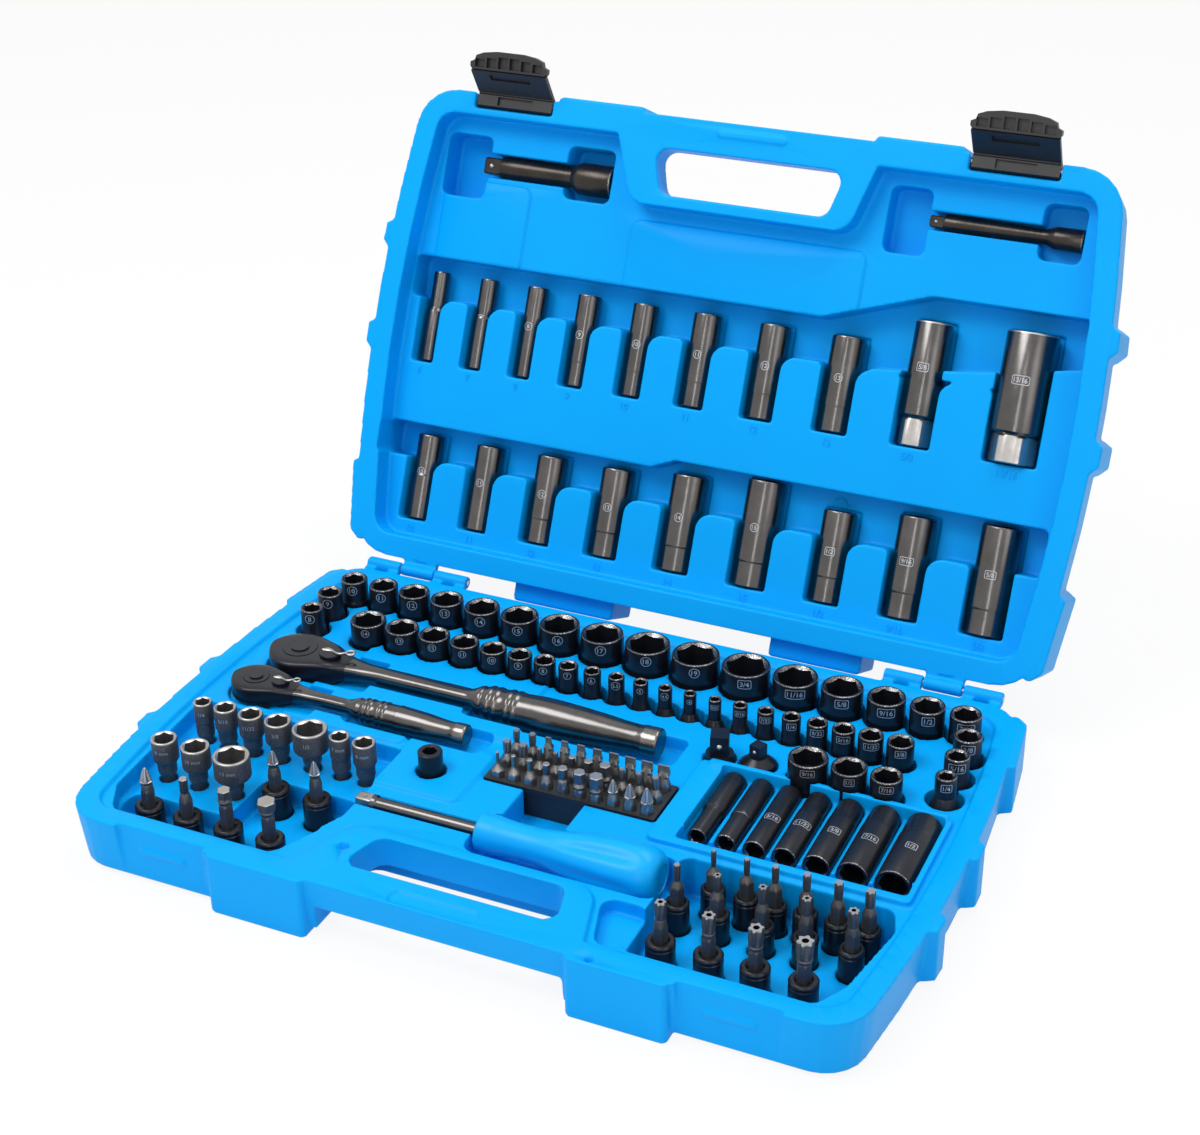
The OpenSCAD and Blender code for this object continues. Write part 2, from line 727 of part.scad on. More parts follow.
module ratchet_large_body() color(gunmetal) ratchet_place(0) ratchet_body(0);
module ratchet_large_drive() color(black) ratchet_place(0) ratchet_drive(0);
module ratchet_large_button() color(black) ratchet_place(0) ratchet_button(0);
module ratchet_large_lever() color(steel) ratchet_place(0) ratchet_lever(0);
module ratchet_large_pawl() color(steel) ratchet_place(0) ratchet_pawl(0);
module ratchet_large_cover() color(black) ratchet_place(0) ratchet_cover(0);
module ratchet_large_screws() color(steel) ratchet_place(0) ratchet_screws(0);
module ratchet_large_ball() color(steel) ratchet_place(0) ratchet_ball(0);
module ratchet_small_body() color(gunmetal) ratchet_place(1) ratchet_body(1);
module ratchet_small_drive() color(black) ratchet_place(1) ratchet_drive(1);
module ratchet_small_button() color(black) ratchet_place(1) ratchet_button(1);
module ratchet_small_lever() color(steel) ratchet_place(1) ratchet_lever(1);
module ratchet_small_pawl() color(steel) ratchet_place(1) ratchet_pawl(1);
module ratchet_small_cover() color(black) ratchet_place(1) ratchet_cover(1);
module ratchet_small_screws() color(steel) ratchet_place(1) ratchet_screws(1);
module ratchet_small_ball() color(steel) ratchet_place(1) ratchet_ball(1);

// ---- screwdriver: x along its axis from the tip of the square ----

driver_end_x = 85.4;
driver_x = driver_end_x - grip_len - shaft_len;
driver_from = 208.3;
driver_male = 9;
insert_r = 6.8;
insert_h = 12;
shaft_inside = 40;

module driver_place() in_base() translate([driver_x, -driver_from, -driver_axis]) children();

module driver_grip() {
    color(blue) driver_place() translate([shaft_len, 0, 0]) rotate([0, 90, 0]) difference() {
        rotate_extrude()
            polygon([[0, 0], [grip_r * 0.62, 0], [grip_r * 0.65, 1.5], [grip_r * 0.65, 9],
                     [grip_r * 0.6, 15], [grip_r * 0.58, 28], [grip_r * 0.67, 40], [grip_r * 0.79, 50],
                     [grip_r * 0.92, 63], [grip_r * 0.99, 74], [grip_r, 80], [grip_r * 0.97, grip_len - 8],
                     [grip_r * 0.87, grip_len - 4.5], [grip_r * 0.71, grip_len - 1.5],
                     [grip_r * 0.58, grip_len], [0, grip_len]]);
        translate([0, 0, -cut]) cylinder(h = shaft_inside + cut, r = shaft_r + run_gap);
        translate([0, 0, grip_len - insert_h]) cylinder(h = insert_h + cut, r = insert_r + run_gap);
    }
}

module driver_shaft() {
    color(steel) driver_place() {
        translate([0, -drive_small / 2, -drive_small / 2])
            cube([driver_male + cut, drive_small, drive_small]);
        translate([driver_male, 0, 0]) rotate([0, 90, 0])
            cylinder(h = shaft_len - driver_male + shaft_inside, r = shaft_r);
    }
}

module driver_end_socket() {
    color(black) driver_place() translate([shaft_len + grip_len - insert_h, 0, 0]) rotate([0, 90, 0])
        difference() {
            cylinder(h = insert_h - 0.6, r = insert_r);
            translate([-drive_small / 2, -drive_small / 2, insert_h - 10])
                cube([drive_small, drive_small, 10]);
        }
}

// ---- adaptors and the bit coupler ----

up_x = 73.3;
up_from = 106;
up_r = 7.2;
up_body_h = 14.8;
up_male = 11.5;
down_x = 93.2;
down_from = 104;
down_r = 8.8;
down_body_h = 13;
down_cone_h = 3.5;
down_male = 7;
turned_out = 18; // the adaptors' squares stand a little askew
coupler_x = -54;
coupler_from = 176;

// Stands the male square's ball towards the front
module standing_ball(drive, top, ball_r) translate([0, -drive / 2 + ball_r * 0.4, top]) children();

module up_place()
    color(black) in_base() translate([up_x, -up_from, -small_depth]) rotate(turned_out) children();

module down_place()
    color(black) in_base() translate([down_x, -down_from, -small_depth]) rotate(-turned_out) children();

module adaptor_up() {
    up_place() difference() {
        union() {
            cylinder(h = up_body_h, r = up_r);
            translate([-drive_large / 2, -drive_large / 2, up_body_h - cut])
                cube([drive_large, drive_large, up_male + cut]);
        }
        translate([-drive_small / 2, -drive_small / 2, -cut])
            cube([drive_small + 0.1, drive_small + 0.1, drive_small + 2 + cut]);
        standing_ball(drive_large, up_body_h + up_male * 0.5, large_ball_r)
            sphere(r = large_ball_r + run_gap);
    }
}

module adaptor_up_ball() up_place() standing_ball(drive_large, up_body_h + up_male * 0.5, large_ball_r)
    sphere(r = large_ball_r);

module adaptor_down() {
    up = down_body_h + down_cone_h;
    down_place() difference() {
        union() {
            cylinder(h = down_body_h, r = down_r);
            translate([0, 0, down_body_h]) cylinder(h = down_cone_h, r1 = down_r, r2 = drive_small * 0.7);
            translate([-drive_small / 2, -drive_small / 2, up - cut])
                cube([drive_small, drive_small, down_male + cut]);
        }
        translate([-drive_large / 2, -drive_large / 2, -cut])
            cube([drive_large + 0.1, drive_large + 0.1, drive_large - 0.5 + cut]);
        standing_ball(drive_small, up + down_male * 0.5, small_ball_r)
            sphere(r = small_ball_r + run_gap);
    }
}

module adaptor_down_ball()
    down_place() standing_ball(drive_small, down_body_h + down_cone_h + down_male * 0.5, small_ball_r)
        sphere(r = small_ball_r);

module bit_coupler() color(black) in_base() translate([coupler_x, -coupler_from, -small_depth])
    socket(bit_af, small_h, small_base + 0.6, small_base + 0.6, 12, drive_small, 12);

// ---- the rail of loose bits ----

columns = 10;
rail_x = -22.3; // the first column
rail_from = 143.4; // the back row
rail_top = 2; // depth of the rail's top plate
rail_plate_t = 3;
rail_body_h = 17;
rail_edge = 5.6;
rail_rim = 4.8;
bit_room = 0.1;
slot_widths = [3, 3.6, 4.2, 4.6, 5, 5.5, 6, 6.35];
torx_tips = [3.4, 3.8, 4.2, 4.6, 2, 2.4, 2.8, 3, 3.8];
hex_tips = [3.2, 4.2, 5.2, 1.6, 2.2, 2.8, 3.4, 4.6, 5.6, 6.6];

module rail_place(column, row)
    translate([rail_x + column * bit_pitch, -rail_from - row * row_pitch, -rail_top - bit_len + bit_out])
        children();

module rail_block(inset, height, below)
    translate([0, 0, -rail_top - height - below]) linear_extrude(height)
        polygon(block(rail_x - rail_edge + inset, rail_x + (columns - 1) * bit_pitch + rail_edge - inset,
                      rail_from - rail_rim + inset, rail_from + 2 * row_pitch + rail_rim - inset));

module bit_rail() {
    color(black) in_base() difference() {
        union() {
            rail_block(0, rail_plate_t, 0);
            rail_block(0.8, rail_body_h - rail_plate_t, rail_plate_t);
        }
        for (column = [0:columns - 1], row = [0:2])
            rail_place(column, row) cylinder(h = bit_len, r = bit_af / sqrt(3) + bit_room, $fn = 6);
    }
}

shank_h = 12; // height of a bit's hexagon

module bit_shank() {
    cylinder(h = shank_h, r = bit_af / sqrt(3), $fn = 6);
    translate([0, 0, shank_h]) cylinder(h = 2, r1 = bit_af / 2, r2 = bit_af / 3);
}

module torx_outline(tip_r)
    polygon([for (point = [0:23]) let (turn = point * 15, reach = tip_r * (0.88 + 0.12 * cos(6 * turn)))
        [reach * cos(turn), reach * sin(turn)]]);

module torx_bit(width, height, tamper = false) {
    difference() {
        union() {
            bit_shank();
            translate([0, 0, shank_h]) linear_extrude(height - shank_h) torx_outline(width / 2);
        }
        if (tamper)
            translate([0, 0, height - 3]) cylinder(h = 3 + cut, r = width * 0.18);
    }
}

module hex_bit(width, height) {
    bit_shank();
    translate([0, 0, shank_h]) cylinder(h = height - shank_h, r = width / sqrt(3), $fn = 6);
}

module slotted_bit(width, height) {
    bit_shank();
    translate([0, 0, shank_h]) intersection() {
        translate([-width / 2, -bit_af / 2, 0]) cube([width, bit_af, height - shank_h]);
        rotate([90, 0, 90]) translate([0, 0, -bit_af])
            linear_extrude(2 * bit_af)
                polygon([[-bit_af / 2.4, 0], [bit_af / 2.4, 0], [0.5, height - shank_h - 3],
                         [0.5, height - shank_h], [-0.5, height - shank_h], [-0.5, height - shank_h - 3]]);
    }
}

module phillips_bit(width, height) {
    point_h = width * 1.1;
    bit_shank();
    difference() {
        translate([0, 0, shank_h]) {
            cylinder(h = height - shank_h - point_h, r = width / 2);
            translate([0, 0, height - shank_h - point_h])
                cylinder(h = point_h, r1 = width / 2, r2 = width * 0.12);
        }
        for (turn = [45:90:315]) rotate(turn)
            translate([width * 0.14, width * 0.14, height - point_h * 1.6]) rotate([-8, 8, 0])
                cube([width, width, point_h * 2]);
    }
}

module bits_slotted() color(steel) in_base() for (which = [0:len(slot_widths) - 1])
    rail_place(which + 2, 0) slotted_bit(slot_widths[which], bit_len);

// Two in the back row, the rest in the middle row beside the first hexagons
module bits_torx() color(steel) in_base() for (which = [0:len(torx_tips) - 1])
    rail_place(which < 2 ? which : which < 6 ? which - 2 : which + 1, which < 2 ? 0 : 1)
        torx_bit(torx_tips[which], bit_len);

module bits_hex() color(steel) in_base() for (which = [0:len(hex_tips) - 1])
    rail_place(which < 3 ? which + 4 : which - 3, which < 3 ? 1 : 2) hex_bit(hex_tips[which], bit_len);

module bits_phillips() color(steel) in_base() for (which = [0:2])
    rail_place(7 + which, 2) phillips_bit(4.4 + 0.8 * which, bit_len);

// ---- nutsetters and bit sockets that stand in the sunken areas ----

setters_back = concat([for (part = [8, 10, 11, 12, 16]) part * inch / 32], [7, 8]);
setters_back_radii = [for (size = setters_back) small_od(size) / 2];
setters_back_start = -184;
setters_back_gap = 2.8;
setters_back_from = 182.5;
setters_front = [9, 10, 13];
setters_front_radii = [for (size = setters_front) small_od(size) / 2];
setters_front_start = -182.5;
setters_front_gap = 4.6;
setters_front_from = 219;
setter_hole_r = 4.6;
setter_stem = hole_depth - area_depth; // the length below the sunken floor

function setter_back_x(which) =
    chain(setters_back_radii, which, setters_back_start, setters_back_gap);
function setter_front_x(which) =
    chain(setters_front_radii, which, setters_front_start, setters_front_gap);

module nutsetter(size) {
    outer = small_od(size) / 2;
    collar = setter_stem + 3;
    difference() {
        union() {
            cylinder(h = collar, r = bit_af / sqrt(3), $fn = 6);
            rotate_extrude()
                polygon([[0, collar], [4.9, collar], [4.9, collar + 5.5], [outer, collar + 9], [outer, setter_h - 0.5],
                         [outer - 0.5, setter_h], [0, setter_h]]);
        }
        translate([0, 0, setter_h - 10]) rotate(30)
            cylinder(h = 10 + cut, r = size / sqrt(3) + 0.15, $fn = 6);
    }
}

module nutsetters() {
    color(phosphate) in_base() translate([0, 0, -hole_depth]) {
        for (which = [0:len(setters_back) - 1])
            translate([setter_back_x(which), -setters_back_from, 0]) nutsetter(setters_back[which]);
        for (which = [0:len(setters_front) - 1])
            translate([setter_front_x(which), -setters_front_from, 0]) nutsetter(setters_front[which]);
    }
}

left_body_r = 7.25;
left_front_x = [-174.5, -152, -128.5, -104.5];
left_back_x = [-125, -101];
left_front_from = 246.5;
left_back_from = 209;
right_body_r = 6;
right_back_x = [107, 123.5, 137.5, 152.7, 168, 183];
right_back_from = 198;
right_middle_x = [95.5, 115.5, 137.5, 158.5, 180.5];
right_middle_from = 214.5;
right_front_x = [99.5, 122.8, 145.2, 168];
right_front_from = 243;
right_front_r = 7;
body_hole_gap = 0.6;

module left_places() {
    for (x = left_back_x) translate([x, -left_back_from]) children();
    for (x = left_front_x) translate([x, -left_front_from]) children();
}

module right_small_places() {
    for (x = right_back_x) translate([x, -right_back_from]) children();
    for (x = right_middle_x) translate([x, -right_middle_from]) children();
}

module right_front_places() for (x = right_front_x) translate([x, -right_front_from]) children();

module bit_body(radius, drive) {
    floor_h = bit_body_h - bit_seat;
    difference() {
        rotate_extrude()
            polygon([[0, 0], [radius - 0.5, 0], [radius, 0.5], [radius, bit_body_h - 1],
                     [radius - 1, bit_body_h], [0, bit_body_h]]);
        translate([0, 0, floor_h]) cylinder(h = bit_seat + cut, r = bit_af / sqrt(3) + 0.05, $fn = 6);
        translate([-drive / 2, -drive / 2, -cut]) cube([drive + 0.1, drive + 0.1, drive + cut]);
    }
}

bit_seat = 8; // how deep each bit sits in its body

module bit_sockets_left()
    color(black) in_base() translate([0, 0, -hole_depth]) left_places() bit_body(left_body_r, drive_large);

module bit_sockets_right() {
    color(black) in_base() translate([0, 0, -hole_depth]) {
        right_small_places() bit_body(right_body_r, drive_small);
        right_front_places() bit_body(right_front_r, drive_large);
    }
}

// The bits stand on the floors of their sockets' hexagons
module on_seats() in_base() translate([0, 0, -hole_depth + bit_body_h - bit_seat]) children();

module bit_tips_left() {
    reach = bit_socket_h - bit_body_h + bit_seat;
    color(steel) on_seats() {
        for (x = left_back_x) translate([x, -left_back_from]) phillips_bit(5.6, reach);
        translate([left_front_x[0], -left_front_from]) phillips_bit(6.2, reach);
        translate([left_front_x[1], -left_front_from]) hex_bit(5, reach);
        translate([left_front_x[2], -left_front_from]) hex_bit(6, reach);
        translate([left_front_x[3], -left_front_from]) hex_bit(bit_af + 2, reach);
    }
}

module bit_tips_right() {
    reach = bit_socket_h - bit_body_h + bit_seat;
    color(steel) on_seats() {
        for (which = [0:len(right_back_x) - 1])
            translate([right_back_x[which], -right_back_from]) torx_bit(2.6 + 0.4 * which, reach);
        for (which = [0:len(right_middle_x) - 1])
            translate([right_middle_x[which], -right_middle_from])
                torx_bit(3.4 + 0.4 * which, reach, which > 0);
        for (which = [0:len(right_front_x) - 1])
            translate([right_front_x[which], -right_front_from])
                torx_bit(5 + 0.7 * which, reach, true);
    }
}

// ---- the case halves ----

foot_spans = [[-118, -65], [69, 119]]; // front feet and pads, left and right
stop_spans = [[-100, -38], [57, 110]]; // rear feet, which stop the lid
rest_pad = 20; // half width of the flat pad under the middle of the base
rib_out = 5; // how far the side ribs stand out
foot_len = 45;
stop_len = 34;
side_ribs = [[12, 60], [123, 142], [183, 201]];
bar_depth = 16.5; // thickness of the carrying bar at the hand hole
bar_span = [-62, 66];
bar_back = 225;
stop_drop = stop_out * tan(lid_open / 2) + 0.3; // the rear feet start this far below the rim
pivot_back = 0.8; // from the latch pivots to the recess's wall
pivot_from = case_d - recess_in - pivot_back;
barrel_gap = 0.4;
latch_barrel_r = 4.4;
barrel_room = latch_barrel_r + 0.6;
latch_pin_r = 1.2;
latch_pin_len = latch_w + 2 * 1.5;
bead_w = 24;
bead_h = 3;
bead_out = 1.2;
bead_from = 11.5; // the catch bead's top, from the rim

module hand_hole(grow)
    polygon(rounded([[-hand_w_in - grow, -hand_from + grow], [hand_w_in + grow, -hand_from + grow],
                     [hand_w_out + grow, -hand_to - grow], [-hand_w_out - grow, -hand_to - grow]],
                    7 + grow, 4));

// A half's bulk between two depths, narrowing with depth
module drafted(top, bottom, height, inset) {
    hull() {
        translate([0, 0, -top - 0.01]) linear_extrude(0.01) polygon(outline(inset + draft * top / height));
        translate([0, 0, -bottom]) linear_extrude(0.01) polygon(outline(inset + draft * bottom / height));
    }
}

// What both halves share outside, standing from the rim down
module half_outside(height) {
    floor_h = height - foot_h;
    drafted(rim_gap, floor_h, floor_h, 0);
    for (span = foot_spans) {
        translate([0, 0, -height]) linear_extrude(height - rim_gap)
            patch(span[0], span[1], case_d - 8, case_d + pad_out, 2.5);
        translate([0, 0, -height]) linear_extrude(foot_h + wall)
            patch(span[0], span[1], case_d - foot_len, case_d, 4);
    }
    for (span = stop_spans)
        translate([0, 0, -height]) {
            linear_extrude(height - stop_drop) patch(span[0], span[1], -stop_out, back_gap + 6, 2);
            linear_extrude(foot_h + wall) patch(span[0], span[1], back_gap, stop_len, 4);
        }
    for (span = side_ribs, side = [-1, 1])
        translate([0, 0, -floor_h + 1]) linear_extrude(floor_h - rim_gap - 1.5)
            polygon([for (corner = [[span[0], -draft], [span[0], 0], [span[0] + 5, rib_out],
                                    [span[1] - 3, rib_out], [span[1], 0], [span[1], -draft]])
                [side * (side_x(corner[0]) + corner[1] - 1), -corner[0]]]);
}

// The notch behind the carrying bar, the latch recesses and the hand hole
module openings(height, grow = 0) {
    low = -height - cut;
    tall = height + 2 * cut;
    translate([0, 0, low]) {
        linear_extrude(height + cut - bar_depth + grow)
            patch(bar_span[0] - grow, bar_span[1] + grow, bar_back - grow, case_d + pad_out + 5, 6);
        linear_extrude(tall) for (side = [-1, 1])
            polygon(block(latch_x(side) - latch_w / 2 - grow, latch_x(side) + latch_w / 2 + grow,
                          case_d - recess_in - grow, case_d + pad_out + 5));
        linear_extrude(grow > 0 ? height + cut : tall) hand_hole(grow);
    }
}

function latch_x(side) = side * (latch_from + latch_w / 2);
function knuckle_x(side, which) =
    side * (hinge_from + knuckle_len / 2 + which * (knuckle_len + barrel_gap));

// Barrels on the hinge axis, each on a windowed leaf from the back wall
module knuckles(places) {
    for (side = [-1, 1], which = places)
        translate([knuckle_x(side, which), 0, 0]) difference() {
            union() {
                translate([-knuckle_len / 2, 0, 0]) rotate([0, 90, 0])
                    cylinder(h = knuckle_len, r = barrel_r);
                translate([-knuckle_len / 2, -back_gap - wall / 2, -barrel_r])
                    cube([knuckle_len, back_gap + wall / 2, barrel_r - rim_gap]);
            }
            translate([-knuckle_len / 2 - cut, 0, 0]) rotate([0, 90, 0])
                cylinder(h = knuckle_len + 2 * cut, r = pin_r + run_gap);
            translate([-4.5, -back_gap, -barrel_r - cut]) cube([9, back_gap - barrel_r - 0.2, 2 * barrel_r]);
        }
}

module base_pockets(grow = 0) {
    large_pockets(grow);
    small_pockets(grow);
    deep_tray_pockets(grow);
    for (which = [0, 1]) ratchet_pocket(which, grow);
    middle_pockets(grow);
    standing_areas(grow);
}

module deep_tray_pockets(grow) {
    last = len(tray_deep) - 1;
    first_x = tray_deep_start - tray_deep_radii[0];
    last_x = chain(tray_deep_radii, last, tray_deep_start, tray_deep_gap) + tray_deep_radii[last];
    end = tray_deep_from + tray_deep_len;
    sunk(tray_axis, grow)
        patch(first_x - lying_gap, last_x + lying_gap, tray_deep_from - lying_gap, end + lying_gap, 1, grow);
    sunk(tray_deep_radii[last] + tray_axis, grow)
        patch(first_x - lying_gap, last_x + lying_gap, end + lying_gap / 2, end + tray_room, 2, grow);
    for (which = [0:last])
        lying(chain(tray_deep_radii, which, tray_deep_start, tray_deep_gap),
              tray_deep_from - lying_gap - grow, tray_axis)
            cylinder(h = tray_deep_len + 2 * lying_gap + grow,
                     r = tray_deep_radii[which] + seat_gap + grow);
}

module ratchet_pocket(which, grow) {
    head_r = head_rs[which];
    sunk_head = head_ts[which] - proud[which] + seat_gap;
    ears = ear_y(head_r) + screw_head_r + cover_edge + pocket_gap;
    axis = head_ts[which] / 2 - proud[which]; // depth of the handle's centre line
    handle_room = grip_rs[which] + pocket_gap + 0.5;
    shank_room = shank_rs[which] + pocket_gap + 0.5 + grow;
    neck = head_r * 2.3;
    translate([ratchet_x[which], -ratchet_from[which], 0]) {
        sunk(sunk_head, grow) {
            circle(head_r + pocket_gap + 0.5 + grow);
            polygon(block(0, neck + 8 + grow, -ears - grow, ears + grow));
        }
        sunk(axis + shank_rs[which] + 1, grow)
            polygon(block(neck - grow, grip_froms[which], -shank_room, shank_room));
        sunk(axis + grip_rs[which] + seat_gap, grow)
            patch(grip_froms[which] - 8, ratchet_lens[which] + 11, -handle_room, handle_room, 4, grow);
        sunk(sunk_head + anvils[which] + 0.6, grow) circle(hub_r(which) + 1 + grow);
    }
}

notch_from_x = -5;
notch_to_x = 28;

module middle_pockets(grow) {
    rail_left = rail_x - rail_edge;
    rail_right = rail_x + (columns - 1) * bit_pitch + rail_edge;
    rail_front = rail_from + 2 * row_pitch + rail_rim;
    grip_x = driver_x + shaft_len;
    sunk(rail_top + rail_body_h, grow) {
        patch(rail_left - 0.6, rail_right + 0.6, rail_from - rail_rim - 0.6, rail_front + 0.6, 1, grow);
        patch(notch_from_x, notch_to_x, rail_front - 4, driver_from - 10, 3, grow);
    }
    sunk(driver_axis + grip_r + seat_gap, grow)
        patch(grip_x - 2, grip_x + grip_len + 4, driver_from - grip_r - 0.6, driver_from + grip_r + 3,
              7, grow);
    sunk(driver_axis + shaft_r + seat_gap, grow)
        patch(driver_x - 1, grip_x + 4, driver_from - shaft_r - 1.5, driver_from + shaft_r + 1.5, 2, grow);
    sunk(small_depth, grow) {
        translate([coupler_x, -coupler_from]) circle(small_base / 2 + 0.3 + pocket_gap + grow);
        translate([up_x, -up_from]) circle(up_r + pocket_gap + grow);
        translate([down_x, -down_from]) circle(down_r + pocket_gap + grow);
    }
}

left_area = [[-199, -163], [-76, -163], [-76, -224], [-92, -264], [-183, -264], [-193, -246]];
right_area = [[88, -189], [192, -189], [197, -204], [189, -248], [180, -264], [88, -264]];
left_deep = [[-190, -236], [-136, -236], [-136, -200], [-81, -200], [-81, -240], [-92, -264], [-183, -264],
             [-190, -248]];
small_area = [[66, -232], [90, -232], [90, -264], [76, -264]];

module grown_area(points, grow, radius = 6) {
    if (grow > 0)
        offset(delta = grow) polygon(rounded(points, radius));
    else
        polygon(rounded(points, radius));
}

module standing_areas(grow) {
    sunk(area_depth, grow) grown_area(left_area, grow);
    sunk(bits_depth, grow) {
        grown_area(left_deep, grow);
        grown_area(right_area, grow);
    }
    sunk(area_depth - 3, grow) grown_area(small_area, grow);
    sunk(hole_depth, grow) {
        for (which = [0:len(setters_back) - 1])
            translate([setter_back_x(which), -setters_back_from]) circle(setter_hole_r + grow);
        for (which = [0:len(setters_front) - 1])
            translate([setter_front_x(which), -setters_front_from]) circle(setter_hole_r + grow);
        left_places() circle(left_body_r + body_hole_gap + grow);
        right_small_places() circle(right_body_r + body_hole_gap + grow);
        right_front_places() circle(right_front_r + body_hole_gap + grow);
    }
}

// Panels that stand above the tray
module raised_panels() {
    last = len(tray_deep) - 1;
    last_x = chain(tray_deep_radii, last, tray_deep_start, tray_deep_gap) + tray_deep_radii[last];
    translate([0, 0, -wall]) linear_extrude(wall + raised_h)
        patch(tray_deep_start - 20, last_x + 4, tray_deep_from - 4,
              tray_deep_from + tray_deep_len + tray_room + 5, 3);
}

module base_case() {
    color(blue) in_base() {
        difference() {
            union() {
                half_outside(base_h);
                raised_panels();
                translate([0, 0, -base_h]) linear_extrude(foot_h + wall)
                    patch(-rest_pad, rest_pad, hinge_y - rest_pad, hinge_y + rest_pad, 4);
            }
            difference() {
                drafted(wall + rim_gap, body_h - wall, body_h, wall);
                base_pockets(wall);
                openings(base_h, wall);
            }
            base_pockets();
            openings(base_h);
        }
        knuckles([0, 2]);
        for (side = [-1, 1])
            translate([latch_x(side) - bead_w / 2, -case_d + recess_in - bead_out, -bead_from - bead_h])
                cube([bead_w, bead_out + wall / 2, bead_h]);
    }
}

// ---- the lid ----

tray_inset = 13;
island = [[-88, -290], [-66, -229], [62, -229], [80, -290]]; // the carrying bar's side of the tray
upper_trough = [[-199, -183], [52, -183], [112, -203], [199, -203], [199, -177], [150, -168],
                [80, -159], [-199, -159]];
lower_trough = [[-199, -85], [-32, -85], [-18, -91], [196, -91], [196, -65], [-199, -65]];
trough_depth = 31;

module tray_outline(grow) {
    difference() {
        polygon(outline(tray_inset - grow));
        offset(delta = -grow) polygon(rounded(island, 12, 5));
    }
}

module lid_pockets(grow = 0) {
    sunk(lid_tray, grow) tray_outline(grow);
    sunk(trough_depth, grow) {
        grown_area(upper_trough, grow, 3);
        grown_area(lower_trough, grow, 3);
    }
    for (which = [0:len(lid_upper_radii) - 1])
        lid_pocket(upper_x(which), lid_upper_from, lid_upper_radii[which],
                   which < len(lid_small) ? deep_small_len : spark_lens[which - len(lid_small)], grow);
    for (which = [0:len(lid_lower) - 1])
        lid_pocket(lower_x(which), lid_lower_from, lid_lower_radii[which], lid_lower_lens[which], grow);
    bar_pockets(bar_large_x, bar_large_from, bar_large_len, bar_large_r, bar_large_end,
                bar_large_end_r, [-190, -162], grow);
    bar_pockets(bar_small_x, bar_small_from, bar_small_len, bar_small_r, bar_small_end,
                bar_small_end_r, [79, 102], grow);
}

module lid_pocket(x, from_hinge, radius, length, grow) sunk(lid_axis_of(radius) + radius + seat_gap, grow)
    patch(x - radius - lying_gap, x + radius + lying_gap, from_hinge - lying_gap,
          from_hinge + length + lying_gap, 0.8, grow);

module bar_pockets(bar_x, bar_from, length, shank_r, end_len, end_r, finger, grow) {
    end = bar_x + length;
    sunk(bar_axis + end_r + seat_gap, grow) {
        patch(end - end_len - 5, end + lying_gap, bar_from - 13, bar_from + 17, 4, grow);
        patch(finger[0], finger[1], bar_from - 20, bar_from + 16, 4, grow);
    }
    sunk(bar_axis + shank_r + seat_gap, grow)
        patch(bar_x - lying_gap, end, bar_from - shank_r - lying_gap, bar_from + shank_r + lying_gap,
              1, grow);
}

// Where each latch turns, sunk into the lid's front
module pivot_notch(grow = 0) {
    for (side = [-1, 1]) {
        middle = latch_x(side);
        translate([0, 0, -2 * pivot_h - 1 - grow]) linear_extrude(2 * pivot_h + 1 + cut + grow)
            polygon(block(middle - latch_w / 2 - grow, middle + latch_w / 2 + grow,
                          pivot_from - barrel_room - grow, case_d));
        translate([middle - latch_pin_len / 2, -pivot_from, -pivot_h]) rotate([0, 90, 0])
            cylinder(h = latch_pin_len, r = latch_pin_r + run_gap + grow);
    }
}

module lid_case() {
    color(blue) in_lid() {
        difference() {
            half_outside(lid_h);
            difference() {
                drafted(wall + rim_gap, lid_h - foot_h - wall, lid_h - foot_h, wall);
                lid_pockets(wall);
                openings(lid_h, wall);
                pivot_notch(wall);
            }
            lid_pockets();
            openings(lid_h);
            pivot_notch();
        }
        knuckles([1]);
    }
}

// ---- hinge pins and latches ----

module hinge_pin(side) {
    length = 3 * knuckle_len + 2 * barrel_gap;
    color(steel) in_base() translate([knuckle_x(side, 1) - length / 2, 0, 0]) rotate([0, 90, 0])
        cylinder(h = length, r = pin_r);
}

module hinge_pin_left() hinge_pin(-1);
module hinge_pin_right() hinge_pin(1);

module latch_pin(side) color(steel) in_lid()
    translate([latch_x(side) - latch_pin_len / 2, -pivot_from, -pivot_h]) rotate([0, 90, 0])
        cylinder(h = latch_pin_len, r = latch_pin_r);

module latch_pin_left() latch_pin(-1);
module latch_pin_right() latch_pin(1);

// A profile across the latch, its first direction outward and its second down to the base
module across(width) rotate([90, 0, -90]) translate([0, 0, -width / 2]) linear_extrude(width) children();

lug_w = 12.5;
hook_at = pivot_h + bead_from + bead_h + 0.5; // from the pivot to the edge that hooks under the bead
plate_in = pivot_back + side_gap; // the plate's inner face, from the pivot
plate_end = hook_at + 2.4;
lip_len = 10.5;
lip_side = latch_w / 2 - side_gap;
lip_wall = 2.2;
lip_lean = 45;

